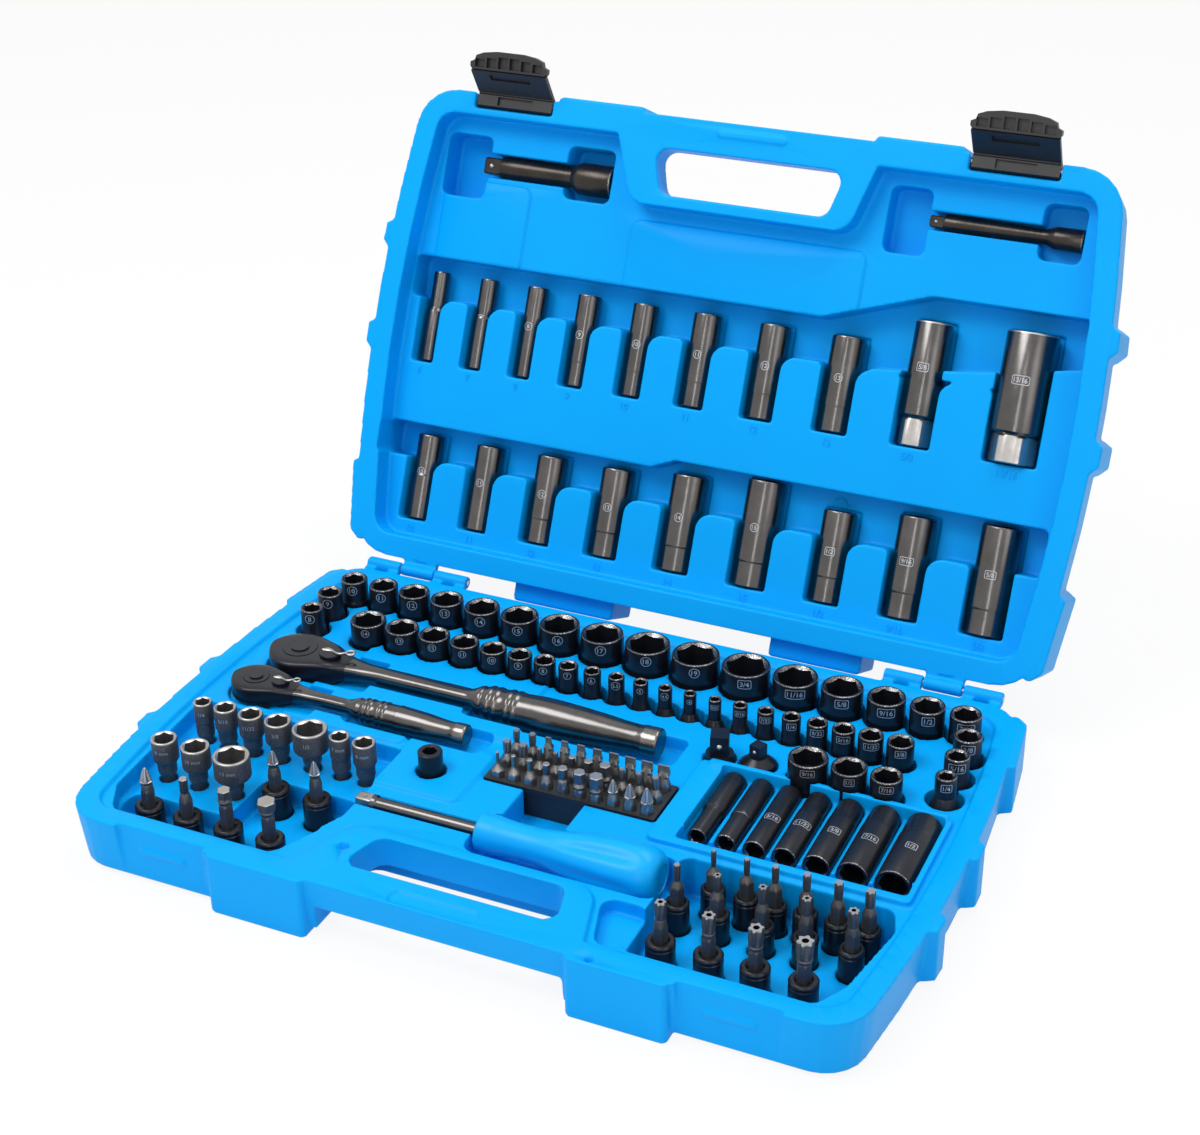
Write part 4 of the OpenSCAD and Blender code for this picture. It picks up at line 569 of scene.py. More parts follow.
def flatWord(text, size, framed):
    key = (text, size, framed)
    if key in words:
        return words[key]
    curve = bpy.data.curves.new("word", "FONT")
    for setting, value in {"body": text, "size": size, "align_x": "CENTER", "align_y": "CENTER",
                           "resolution_u": 4, "offset": marks["bold"] * size}.items():
        setattr(curve, setting, value)
    holder = held("word", curve)
    flat = evaluated(holder)
    bpy.data.objects.remove(holder)
    bpy.data.curves.remove(curve)
    shape = bmesh.new()
    shape.from_mesh(flat)
    bpy.data.meshes.remove(flat)
    if framed:
        addFrame(shape, size, framed)
    xs = [v.co.x for v in shape.verts]
    at = min(xs) + marks["strip"]
    while at < max(xs):
        bmesh.ops.bisect_plane(shape, geom=shape.verts[:] + shape.edges[:] + shape.faces[:],
                               plane_co=(at, 0, 0), plane_no=(1, 0, 0))
        at += marks["strip"]
    shape.verts.index_update()
    found = (np.array([v.co[:] for v in shape.verts]),
        [tuple(v.index for v in f.verts) for f in shape.faces])
    shape.free()
    words[key] = found
    return found


def wrappedWord(parts, text, size, place, radius, height, facing, framed=None, flip=False):
    points, faces = flatWord(text, size, framed)
    turnSign = -1.0 if flip else 1.0
    angle = facing + turnSign * points[:, 0] / radius
    far = radius + marks["proud"]
    bent = np.stack([far * np.cos(angle), far * np.sin(angle), height + turnSign * points[:, 1]], 1)
    addPart(parts, bent, faces, [0] * len(faces), place)


def laidWord(parts, text, size, place, thick):   # raised letters on a flat face, z up from it
    points, faces = flatWord(text, size, None)
    shape = bmesh.new()
    made = [shape.verts.new(p) for p in points]
    for face in faces:
        try:
            shape.faces.new([made[v] for v in face])
        except ValueError:
            pass
    grown = bmesh.ops.extrude_face_region(shape, geom=shape.faces[:])
    bmesh.ops.translate(shape, verts=[v for v in grown["geom"] if isinstance(v, bmesh.types.BMVert)],
                        vec=(0, 0, thick))
    shape.verts.index_update()
    addPart(parts, np.array([v.co[:] for v in shape.verts]),
            [tuple(v.index for v in f.verts) for f in shape.faces], [0] * len(shape.faces), place)
    shape.free()


def inches(parts, whole):   # sizes in millimetres and their marks, from counts of a part of an inch
    marked = [(part // math.gcd(part, whole), whole // math.gcd(part, whole)) for part in parts]
    return [part * 25.4 / whole for part in parts], [f"{part}/{rest}" for part, rest in marked]


def metric(sizes):
    return sizes, [str(size) for size in sizes]


def frameOf(label):
    return "box" if "/" in label else "ring"


def marked(parts, letters, nodeName, body, coats, slot, sharp=28):   # a node's tools and the marks on them
    finished(parts, nodeName + "_turned", body, coats, (nodeName,), sharp)
    finished(letters, nodeName + "_marks", body, ["etched"], (), 0)


# Sockets: the walls that the trade gives to each size
def outerOf(size, large):
    return 1.2 * size + 3.2 if large else 1.32 * size + 1.5


def baseOf(size, large):
    return max(16.5, outerOf(size, True) - 0.6) if large else max(12.0, outerOf(size, False) - 0.5)


def isSmall(size, large):   # as wide as its drive end needs, or narrower
    return outerOf(size, large) < (16.5 if large else 12.0)


# Slot 0 is the coat and slot 1 the rim: partly real wear, partly a painted highlight of brighter scuffed
# metal
def addSocket(parts, place, size, height, large, baseLength, hexDepth, flare=None):
    outer, base = outerOf(size, large) / 2, baseOf(size, large) / 2
    drive = 9.53 if large else 6.35
    bore = min(drive, size) * 0.42
    corner = size / math.sqrt(3) + 0.15
    lip = outer - 0.5
    lead = min(corner + 0.45, lip - 0.25)
    slope = flare or abs(base - outer) * 0.9 + 0.3
    rings = [*rounds((bore, drive + 3.0), (bore, drive + 1.5)), *squares((drive + 0.15, drive + 1.5),
        (drive + 0.15, 0.5), (drive + 1.1, 0.0, 1)), *rounds((base - 0.9, 0.0), (base - 0.3, 0.25),
        (base, 0.8), (base, 1.6), (base, baseLength - 0.4), (base + (outer - base) * 0.12, baseLength),
        (outer + (base - outer) * 0.12, baseLength + slope), (outer, baseLength + slope + 0.5),
        (outer, height - 0.9), (outer - 0.12, height - 0.45), (lip + 0.2, height - 0.1, 1),
        (lip, height, 1), (lead, height)), *hexes((size + 0.3, height - 0.25, 1, (lead, 0.75)),
        (size + 0.15, height - 2.2), (size + 0.15, height - hexDepth)),
        *rounds((bore * 1.15, height - hexDepth - 0.6), (bore, height - hexDepth - 3.0))]
    turned(parts, rings, place, math.pi / 6)


standing = {"height": {True: 27.0, False: 25.0}, "word": {True: 4.0, False: 3.1},
    "wordDown": {True: 4.6, False: 3.9}, "flare": {True: 8.0, False: 6.0}, "base": {True: 7, False: 6.5},
    "wideBase": {True: 14, False: 12}}


def standingSockets(nodeName, large, sizes, labels):
    parts, letters = newParts(), newParts()
    height = standing["height"][large]
    for box, size, label in zip(byRow(solidsOf(nodeName, inBase)), sizes, labels):
        middle = centreOf(box)
        place = inBase @ spot(middle[0], middle[1], box[0][2])
        narrow = size < 10 if large else isSmall(size, large)
        baseLength = standing["base" if narrow else "wideBase"][large]
        hexDepth = min(size * 0.75, height - 9.53 - 4) if large else min(size * 0.8, 10)
        flare = standing["flare"][large] if isSmall(size, large) and size < 10 else None
        addSocket(parts, place, size, height, large, baseLength, hexDepth, flare)
        radius = outerOf(size, large) / 2
        wrappedWord(letters, label, min(standing["word"][large], radius * 0.62), place, radius,
                    height - standing["wordDown"][large], marks["facing"], frameOf(label))
    marked(parts, letters, nodeName, "base", ["blackOxide", "rimWearAndHighlight"], "black_oxide")


standingSockets("sockets_large_metric", True, *metric([*range(10, 20), 9, 8]))
standingSockets("sockets_large_inch", True, *inches(range(12, 3, -1), 16))
standingSockets("sockets_small_metric", False, *metric([14, 13, 12, 11, 10, 9, 8, 7, 6, 5.5, 5, 4.5, 4]))
standingSockets("sockets_small_inch", False, *inches([*range(5, 13), 18, 16, 14], 32))
print("standing sockets made")

# Lying sockets: where the marks face, and how long the narrow drive ends are
inTray = {"into": inBase, "lay": lyingInBase, "body": "base", "coat": "blackOxide", "slot": "black_oxide",
          "facing": math.pi / 2 - 0.15, "flip": True}
inCover = {"into": inLid, "lay": lyingInLid, "body": "lid", "coat": "gunmetal", "slot": "gunmetal",
           "facing": -math.pi / 2, "flip": False}
lying = {"word": 3.4, "wordAt": 0.56, "rowPitch": 60.0, "wideBase": 14}


def lyingSockets(nodeName, large, longBase, rest, sizes, labels):
    parts, letters = newParts(), newParts()
    for box, size, label in zip(byRow(solidsOf(nodeName, rest["into"]), lying["rowPitch"]), sizes, labels):
        middle = centreOf(box)
        start = box[1][1] if rest["body"] == "base" else box[0][1]
        length = box[1][1] - box[0][1]
        place = rest["into"] @ spot(middle[0], start, middle[2]) @ rest["lay"]
        narrow = isSmall(size, large) or (large and size < 12)
        addSocket(parts, place, size, length, large, longBase if narrow else lying["wideBase"], size * 1.2)
        radius = outerOf(size, large) / 2
        wrappedWord(letters, label, min(lying["word"], radius * 0.6), place, radius,
            length * lying["wordAt"], rest["facing"], frameOf(label), rest["flip"])
    marked(parts, letters, nodeName, rest["body"], [rest["coat"], "rimWearAndHighlight"], rest["slot"])


lyingSockets("deep_sockets_tray", False, 30, inTray, *inches([8, 9, 10, 11, 12, 14, 16], 32))
lyingSockets("deep_sockets_lid_small", False, 30, inCover, *metric(range(6, 14)))
lyingSockets("deep_sockets_lid_metric", True, 26, inCover, *metric(range(10, 16)))
lyingSockets("deep_sockets_lid_inch", True, 14, inCover, *inches([8, 9, 10], 16))

numbers = {"size": 5.4, "thick": 0.6, "tray": -14.15,
    "rows": ((116.0, "deep_sockets_lid_small", range(6, 14)), (116.0, "spark_sockets", ["5/8", "13/16"]),
    (23.0, "deep_sockets_lid_metric", range(10, 16)),
    (23.0, "deep_sockets_lid_inch", ["1/2", "9/16", "5/8"]))}


def lidNumbers():
    letters = newParts()
    for start, owner, labels in numbers["rows"]:
        for box, label in zip(byRow(solidsOf(owner, inLid), lying["rowPitch"]), labels):
            place = inLid @ spot(centreOf(box)[0], start, numbers["tray"])
            laidWord(letters, str(label), numbers["size"], place, numbers["thick"])
    finished(letters, "lid_numbers", "lid", ["caseBlue"], (), 30)


lidNumbers()

spark = {"sizes": (15.875, 20.6375), "labels": ("5/8", "13/16"), "radii": (10.2, 14.0), "hexHigh": 15.0,
    "word": 3.6}


def sparkSockets():
    boxes = byRow(solidsOf("spark_sockets", inLid), lying["rowPitch"])
    parts, letters = newParts(), newParts()
    for box, size, label, radius in zip(boxes, spark["sizes"], spark["labels"], spark["radii"]):
        middle = centreOf(box)
        length = box[1][1] - box[0][1]
        place = inLid @ spot(middle[0], box[0][1], middle[2]) @ lyingInLid
        flats = radius * 0.92 * math.sqrt(3)
        high = spark["hexHigh"]
        corner = size / math.sqrt(3) + 0.2
        rings = [*rounds((4.0, 12.0, 1)), *squares((9.6, 11.5, 1), (9.6, 0.4, 1), (10.3, 0.0, 1)),
            *hexes((flats - 1.6, 0.0, 1), (flats, 0.7, 1), (flats, high - 0.9, 1)),
            *rounds((radius * 0.8, high, 1), (radius - 0.9, high + 0.9), (radius, high + 2.2),
            (radius, length - 1.0), (radius - 0.35, length - 0.3, 1), (radius - 0.8, length, 1),
            (min(corner + 0.3, radius - 1.0), length, 1)),
            *hexes((size + 0.4, length - 0.3, 1, (corner, 0.7)), (size + 0.3, length - 22)),
            *rounds((size * 0.42, length - 22.5), (size * 0.42, length - 30))]
        turned(parts, rings, place, math.pi / 6)
        wrappedWord(letters, label, spark["word"], place, radius, length * 0.63, -math.pi / 2, "box")
    marked(parts, letters, "spark_sockets", "lid", ["gunmetal", "brightSteel"], "gunmetal")


sparkSockets()
print("lying sockets made")

# Ratchets: forged head and handle in one body, with the ring and button of the drive left clear
ratchets = {
    "large": {"x": -170.0, "from": 110.6, "proud": 7.5, "headR": 17.0, "headT": 14.0, "shank": 5.2,
              "gripFrom": 112.0, "gripR": 10.0, "length": 213.0, "boss": 9.25, "hub": 7.43},
    "small": {"x": -176.6, "from": 143.9, "proud": 6.5, "headR": 13.5, "headT": 11.0, "shank": 3.8,
              "gripFrom": 64.0, "gripR": 7.5, "length": 126.5, "boss": 6.87, "hub": 4.95}}
forging = {"tangent": 20.0, "swell": 0.07, "swellWide": 0.15, "grooveAt": 1.0, "grooveWide": 1.2,
    "groove": 0.06, "endRound": 1.2, "endLong": 4, "swing": 8.0, "leverAt": 1.12}


def blendedCurve(places, knots):   # a smooth curve through (place, value) knots
    xs = np.array([k[0] for k in knots], dtype=float)
    ys = np.array([k[1] for k in knots], dtype=float)
    slope = np.gradient(ys, xs)
    steep = np.diff(ys) / np.diff(xs)
    for at in range(len(xs)):
        near = [steep[k] for k in (at - 1, at) if 0 <= k < len(steep)]
        if len(near) == 2 and near[0] * near[1] <= 0:
            slope[at] = 0
        elif len(near) == 2:
            slope[at] = 2 * near[0] * near[1] / (near[0] + near[1])
        else:
            slope[at] = near[0]
    cell = np.clip(np.searchsorted(xs, places) - 1, 0, len(xs) - 2)
    width = xs[cell + 1] - xs[cell]
    part = np.clip((places - xs[cell]) / width, 0, 1)
    return (ys[cell] * (1 + 2 * part) * (1 - part) ** 2 + ys[cell + 1] * part ** 2 * (3 - 2 * part)
        + slope[cell] * width * part * (1 - part) ** 2 - slope[cell + 1] * width * part ** 2 * (1 - part))


def ratchetBody(which):
    own = ratchets[which]
    headR, headT, shank, gripR, length, gripFrom = (
        own[key] for key in ("headR", "headT", "shank", "gripR", "length", "gripFrom"))
    neck = headR * 2.3
    knob = length - 13 * gripR / 11
    middle = gripFrom + (knob - gripFrom) * 0.42
    late = middle + (knob - middle) * 0.5
    band = gripR * 0.86
    rings = [gripFrom + gripR * (0.45 + turn * 0.42 + (0.3 if turn > 1 else 0)) for turn in range(4)]
    places = np.unique(np.concatenate([
        -headR * np.cos(np.linspace(0, math.pi / 2, 34)), np.arange(0, neck, 1.2),
        np.arange(neck, gripFrom, 1.6), np.arange(gripFrom, gripFrom + 30, 0.35),
        np.arange(gripFrom + 30, length - 4, 1.3), length - 4 + 4 * np.sin(np.linspace(0, math.pi / 2, 14))]))
    tangent = math.radians(forging["tangent"])
    tangentX = headR * math.sin(tangent)
    handle = [(gripFrom, band), (gripFrom + 26, gripR * 0.95), (middle, gripR), (late, gripR * 0.9),
              (knob, gripR * 0.74), (knob + 3, gripR * 0.8), (length, gripR * 0.8)]
    sideCurve = blendedCurve(places, [(tangentX, headR * math.cos(tangent)), (headR * 1.0, headR * 0.72),
        (headR * 1.55, headR * 0.5), (neck, shank * 1.12), (neck + 12, shank * 0.98),
        (gripFrom - 9, shank * 0.98)] + handle)
    halfWide = np.where(places < tangentX, np.sqrt(np.maximum(headR ** 2 - places ** 2, 0.0)), sideCurve)
    bottom = -headT + 0.35
    axis = -headT / 2
    topEdge = blendedCurve(places, [(-headR, -0.3), (headR * 1.0, -0.3), (headR * 1.5, -headT * 0.11),
        (neck + 4, axis + shank * 0.9), (neck + 14, axis + shank * 0.92),
        (gripFrom - 9, axis + shank * 0.92)] + [(at, axis + r) for at, r in handle])
    lowEdge = np.where(places < headR * 1.5, bottom, 2 * axis - topEdge)
    near = (places >= headR * 1.5) & (places < neck + 14)
    lowEdge[near] = np.maximum(bottom, 2 * axis - topEdge)[near]
    for place in rings:
        wide = gripR * forging["swellWide"]
        swell = np.exp(-((places - place) / wide) ** 2) * (gripR * forging["swell"])
        halfWide, topEdge, lowEdge = halfWide + swell, topEdge + swell, lowEdge - swell
    groove = np.exp(-((places - gripFrom - forging["grooveAt"]) / forging["grooveWide"]) ** 2)
    groove = groove * gripR * forging["groove"]
    halfWide, topEdge, lowEdge = halfWide - groove, topEdge - groove, lowEdge + groove
    endRound = forging["endRound"]
    ends = places > length - forging["endLong"]
    closing = np.sqrt(np.clip(1 - ((places[ends] - (length - endRound)) / endRound) ** 2, 0, 1))
    closing[places[ends] < length - endRound] = 1
    for edge, sign in ((halfWide, -1), (topEdge, -1), (lowEdge, 1)):
        edge[ends] = edge[ends] + sign * (endRound * (1 - closing))
    power = blendedCurve(places, [(-headR, 7.0), (headR * 1.1, 7.0), (headR * 1.7, 4.0), (neck + 6, 2.6),
                                  (gripFrom - 12, 2.6), (gripFrom, 2.0), (length, 2.0)])
    across, along = np.cos(around), np.sin(around)
    points, faces, slots = [], [], []
    for at, place in enumerate(places):
        bend = 2 / power[at]
        mid, half = (topEdge[at] + lowEdge[at]) / 2, (topEdge[at] - lowEdge[at]) / 2
        points.append(np.stack([np.full(segments, place),
                                max(halfWide[at], 0.02) * np.sign(across) * np.abs(across) ** bend,
                                mid + half * np.sign(along) * np.abs(along) ** bend], 1))
        if at:
            low, high = (at - 1) * segments, at * segments
            slot = 0 if place < headR * 1.9 else 1
            if place > knob + 3.4:
                slot = 2
            for turn in range(segments):
                then = (turn + 1) % segments
                faces.append((low + turn, high + turn, high + then, low + then))
                slots.append(slot)
    last = (len(places) - 1) * segments
    faces += [tuple(range(segments)), tuple(range(last + segments - 1, last - 1, -1))]
    slots += [0, 2]
    parts = newParts()
    place = inBase @ spot(own["x"], -own["from"], own["proud"])
    addPart(parts, np.concatenate(points), faces, slots, place)
    cutter = newParts()
    turned(cutter, rounds((own["boss"] + 0.2, -3.4), (own["boss"] + 0.2, 2.0)), place)
    leverPlace = place @ spot(headR * forging["leverAt"], 0, 0)
    turned(cutter, rounds((headR * 0.36, -0.9), (headR * 0.36, 2.0)), leverPlace)
    turned(cutter, rounds((own["hub"] + 0.3, -headT - 2), (own["hub"] + 0.3, -headT + 2.5)), place)
    forged = facedOut(meshOf("forged", parts, ("blackOxide", "gunmetal", "polished")))
    settled(f"ratchet_{which}_forged", carved(forged, cutter, "EXACT", ("blackOxide",)), f"{which}_ratchet",
            (f"ratchet_{which}_body",))


def ratchetTop(which):   # the turning ring and its push button, with the grooves around them
    own = ratchets[which]
    place = inBase @ spot(own["x"], -own["from"], own["proud"])
    boss, headR = own["boss"], own["headR"]
    button = (headR - 3.4) * 0.36
    ring = newParts()
    turned(ring, rounds((button + 0.15, -2.9), (button + 0.15, -0.25), (button + 0.35, 0.0),
        (button + 1.0, 0.02), (button + 1.25, -0.22), (button + 1.6, -0.22), (button + 1.9, 0.03),
        (boss - 0.45, 0.03), (boss - 0.1, -0.25), (boss - 0.1, -3.05)), place)
    finished(ring, f"ratchet_{which}_ring", f"{which}_drive", ["blackOxide"], ())
    knob = newParts()
    turned(knob, rounds((button * 0.5, -1.1), (button, -1.1), (button, 0.35), (button - 0.3, 0.66),
        (button * 0.6, 0.7), (button * 0.3, 0.6)), place)
    finished(knob, f"ratchet_{which}_push", f"{which}_button", ["blackOxide"], ())


def addEye(parts, place, radius, thick, slot):   # a ring lying flat
    turns, sides = 28, 10
    points, faces = [], []
    for turn in range(turns):
        angle = 2 * math.pi * turn / turns
        for step in range(sides):
            tilt = 2 * math.pi * step / sides
            far = radius + thick * math.cos(tilt)
            points.append((far * math.cos(angle), far * math.sin(angle), thick * math.sin(tilt)))
            then, nextStep = (turn + 1) % turns, (step + 1) % sides
            faces.append((turn * sides + step, then * sides + step, then * sides + nextStep,
                          turn * sides + nextStep))
    addPart(parts, np.array(points), faces, [slot] * len(faces), place)


def ratchetLever(which):   # a slim steel lever with an eye at its end, on a black disc
    own = ratchets[which]
    headR = own["headR"]
    disc = headR * 0.34
    place = inBase @ spot(own["x"] + forging["leverAt"] * headR, -own["from"], own["proud"])
    parts = newParts()
    turned(parts, rounds((disc * 0.5, -0.7), (disc, -0.7), (disc, 0.9), (disc - 0.35, 1.3),
        (disc * 0.4, 1.35)), place)
    reach = disc * 1.75
    steps = 42
    swing = math.radians(forging["swing"])
    alongs = [-disc * 0.85 + (reach + disc * 0.85) * step / steps for step in range(steps + 1)]
    spine = [(along, 0.32 * disc * math.sin(math.pi * 2.0 * (along + disc) / (reach + disc))) for along
        in alongs]
    wide = [disc * (0.13 + 0.16 * math.exp(-((a + disc * 0.35) / (disc * 0.45)) ** 2)) for a, _ in spine]
    sides = 12
    points, faces, slots = [], [], []
    for at, ((along, side), half) in enumerate(zip(spine, wide)):
        lift = 1.5 + 0.9 * smoothStep(along / reach)
        fades = [math.sqrt(max(0.0, 1 - max(0.0, past / 4.2) ** 2)) for past in (at - steps + 4, 4 - at)]
        thin = max(fades[0] * fades[1], 0.15)
        for turn in range(sides):
            angle = 2 * math.pi * turn / sides
            off = half * thin * math.cos(angle)
            up = 0.75 * math.sin(angle)
            points.append((along * math.cos(swing) - (side + off) * math.sin(swing),
                           along * math.sin(swing) + (side + off) * math.cos(swing), lift + up))
        if at:
            low, high = (at - 1) * sides, at * sides
            for turn in range(sides):
                then = (turn + 1) % sides
                faces.append((low + turn, low + then, high + then, high + turn))
                slots.append(1)
    last = steps * sides
    faces += [tuple(range(sides)), tuple(range(last, last + sides))]
    slots += [1, 1]
    addPart(parts, np.array(points), faces, slots, place)
    eyeX = (reach + disc * 0.32) * math.cos(swing)
    eyeY = (reach + disc * 0.32) * math.sin(swing)
    addEye(parts, place @ spot(eyeX, eyeY, 2.35), disc * 0.36, disc * 0.13, 1)
    finished(parts, f"ratchet_{which}_switch", f"{which}_lever", ["blackOxide", "brightSteel"],
             (f"ratchet_{which}_lever",), 40)


for which in both:
    ratchetBody(which)
    ratchetTop(which)
    ratchetLever(which)
print("ratchets made")

# The screwdriver: its grip's profile is its height, its share of the radius and the depth of its flutes
driver = {"x": -77.6, "from": 208.3, "deep": 4.0, "grip": 14.9, "gripLength": 95.0, "shaft": 3.5,
    "shaftLength": 68.0, "square": 6.35, "male": 9.0, "profile": [(0.0, 0.56, 0), (0.25, 0.61, 0),
    (1.2, 0.64, 0), (8.5, 0.645, 0), (10.5, 0.63, 0), (15, 0.6, 0), (22, 0.58, 0), (29, 0.58, 0),
    (35, 0.62, 0.01), (40, 0.68, 0.03), (45, 0.75, 0.06), (50, 0.81, 0.09), (56, 0.88, 0.11),
    (63, 0.94, 0.12), (70, 0.985, 0.12), (77, 1.0, 0.11), (82, 0.995, 0.08), (86, 0.975, 0.04),
    (89, 0.93, 0.015), (91.5, 0.86, 0), (93.3, 0.77, 0), (94.5, 0.66, 0), (95.0, 0.56, 0)]}


def screwdriver():
    place = inBase @ spot(driver["x"], -driver["from"], -driver["deep"]) @ alongX
    radius, start, long, profile = (driver[key] for key in ("grip", "shaftLength", "gripLength", "profile"))
    fine = np.concatenate([np.linspace(0, 30, 40), np.linspace(31, 88, 60), np.linspace(88.5, 94.9, 22)])
    radii = blendedCurve(fine, [(at, share) for at, share, _ in profile])
    flutes = blendedCurve(fine, [(at, flute) for at, _, flute in profile])
    rings = [*rounds((driver["shaft"] + 0.1, start + 0.4))]
    rings += [("flute", radius * r, start + z, 0, {"extra": f}) for z, r, f in zip(fine, radii, flutes)]
    rings += rounds((radius * 0.475, start + long), (radius * 0.462, start + long - 0.5))
    parts = newParts()
    turned(parts, rings, place)
    finished(parts, "driver_grip_moulded", "screwdriver", ["gripBlue"], ("driver_grip",), 50)
    shaft = newParts()
    square, thick = driver["square"], driver["shaft"]
    turned(shaft, [*squares((square - 1.6, 0.0, 1), (square - 0.2, 0.7, 1), (square, 1.0, 1),
        (square, driver["male"] - 0.3, 1)), *rounds((thick + 0.9, driver["male"]), (thick + 0.9, 11.0),
        (thick, 12.0), (thick, start + 39.0))], place)
    turned(shaft, rounds((0.3, -0.2, 1), (0.9, -0.2, 1), (1.1, 0.2, 1), (1.1, 1.0, 1)), inBase
        @ spot(driver["x"] + 4.4, -driver["from"], -driver["deep"] + square / 2 - 0.6))
    finished(shaft, "driver_shaft_turned", "screwdriver", ["gunmetal", "brightSteel"], ("driver_shaft",),
             30)


screwdriver()
print("screwdriver made")

# Extension bars, lying along x with their squares to the left
bars = {"large": {"x": -167.0, "from": 240.0, "deep": 22.0, "length": 82.0, "square": 9.53, "male": 11.0,
                  "shank": 6.0, "end": 23.0, "endR": 9.2},
        "small": {"x": 101.0, "from": 243.0, "deep": 22.0, "length": 84.0, "square": 6.35, "male": 8.5,
                  "shank": 4.3, "end": 17.0, "endR": 6.2}}


def extensionBar(which):
    own = bars[which]
    place = inLid @ spot(own["x"], own["from"], -own["deep"]) @ alongX
    square, male, shank, end, endR, length = (own[key] for key
        in ("square", "male", "shank", "end", "endR", "length"))
    parts = newParts()
    turned(parts, [*squares((square - 2.2, 0.0), (square - 0.7, 0.35), (square, 1.3), (square, male - 0.5)),
        *rounds((shank + 0.35, male), (shank + 0.6, male + 0.8), (shank + 0.45, male + 10),
        (shank - 0.3, length - end - 6), (shank - 0.1, length - end - 3),
        (shank + (endR - shank) * 0.4, length - end - 1), (endR - 0.3, length - end + 1.2),
        (endR, length - end + 2.2), (endR, length - 0.9), (endR - 0.25, length - 0.2, 1),
        (endR - 0.9, length, 1)), *squares((square + 1.2, length), (square + 0.2, length - 0.7),
        (square + 0.2, length - male))], place)
    # the bar's end rim takes the rim finish, partly real wear and partly a painted highlight
    finished(parts, f"extension_{which}_turned", "lid", ["bronzed", "rimWearAndHighlight"], (f"extension_{which}",),
             28)


for which in both:
    extensionBar(which)
print("extension bars made")

# Bits have hexagon shanks, turned necks and cut tips; slot 1 is the bright tip, slot 2 the hole in a star
bits = {"flats": 6.35}


def addBit(parts, place, kind, size, long, shank, drilled=False):
    flats = bits["flats"]
    neck = {"star": size * 0.42, "hex": min(size * 0.56, flats * 0.5), "cross": size * 0.4,
        "blade": flats * 0.36}[kind]
    spin = math.pi / 6
    rings = [*hexes((flats, 0.0), (flats, shank - 1.0), (flats - 0.2, shank, 0, (flats / 2, -0.9))),
        *rounds((min(flats * 0.46, neck + 1.6), shank + 0.8), (neck + 0.35, shank + 2.6),
        (neck, shank + 3.4))]
    if kind == "star":
        rings += [*rounds((size * 0.44, shank + 4.0)), ("star", size * 0.98, shank + 5.4, 0),
            ("star", size, long - 0.5, 0), ("star", size - 0.5, long, 1)]
        if drilled:
            rings += rounds((size * 0.2, long, 1), (size * 0.2, long - 2.0, 2))
    elif kind == "hex":
        rings += hexes((size * 0.92, shank + 4.2), (size, shank + 4.6), (size, long - 0.5),
            (size - 0.7, long, 1))
    elif kind == "cross":
        tip = size * 1.15
        rings += rounds((size * 0.42, long - tip - 1.6))
        rings += [("cross", size * share, long - down, slot, {"extra": flute}) for share, down, slot, flute
            in ((1.0, tip + 0.2, 0, 0.1), (1.0, tip, 1, 0.28), (0.72, tip * 0.58, 1, 0.5),
            (0.42, tip * 0.22, 1, 0.52), (0.22, 0.25, 1, 0.3), (0.12, 0.0, 1, 0.1))]
    else:
        rings += [("blade", max(size * 0.9, neck * 2), shank + 5.0, 0, {"extra": neck * 1.7}),
            ("blade", size, shank + 7.0, 0, {"extra": 1.9}), ("blade", size, long - 2.2, 0, {"extra": 1.1}),
            ("blade", size, long, 1, {"extra": 0.95})]
        spin = 0.0
    turned(parts, rings, place, spin)


railNodes = ("bits_slotted", "bits_torx", "bits_hex", "bits_phillips")
# The rail's bits by kind: column, row, size
rail = {"x": -22.3, "from": 143.4, "pitch": 9.0, "row": 10.6, "low": -13.0, "long": 25.0, "shank": 14.5,
        "blade": [(at + 2, 0, size) for at, size in enumerate((3, 3.6, 4.2, 4.6, 5, 5.5, 6, 6.35))],
        "star": [(0, 0, 3.4), (1, 0, 3.8), (0, 1, 4.2), (1, 1, 4.6), (2, 1, 2.6), (3, 1, 2.8), (7, 1, 3.0),
                 (8, 1, 3.4), (9, 1, 4.0)],
        "hex": [(4, 1, 3.2), (5, 1, 4.2), (6, 1, 5.2), (0, 2, 1.6), (1, 2, 2.2), (2, 2, 2.8), (3, 2, 3.4),
                (4, 2, 4.6), (5, 2, 5.6), (6, 2, 6.35)],
        "cross": [(7, 2, 5.4), (8, 2, 5.9), (9, 2, 6.4)]}


def railBits():
    for kind, name in zip(("blade", "star", "hex", "cross"), railNodes):
        parts = newParts()
        for column, row, size in rail[kind]:
            place = inBase @ spot(rail["x"] + column * rail["pitch"], -rail["from"] - row * rail["row"],
                rail["low"])
            addBit(parts, place, kind, size, rail["long"], rail["shank"])
        finished(parts, name + "_cut", "rail", ["bitSteel", "brightSteel", "blackOxide"], (name,),
            26)


railBits()

standingBits = {"body": 20.0, "seat": 8.0, "tip": 41.0}


def bodyRings(radius, drive):
    body = standingBits["body"]
    inner = bits["flats"] / math.sqrt(3)
    return [*squares((drive, 6.0), (drive, 0.3)), *rounds((radius - 0.5, 0.0), (radius, 0.5),
        (radius, body - 3.4), (radius - 0.35, body - 2.9), (radius - 0.35, body - 2.5),
        (radius, body - 2.0), (radius, body - 1.2), (radius - 0.5, body - 0.35), (radius - 1.0, body),
        (inner + 0.9, body), (inner + 0.5, body - 0.4)), *hexes((bits["flats"] + 0.2, body - 0.8),
        (bits["flats"] + 0.2, body - 4.0))]


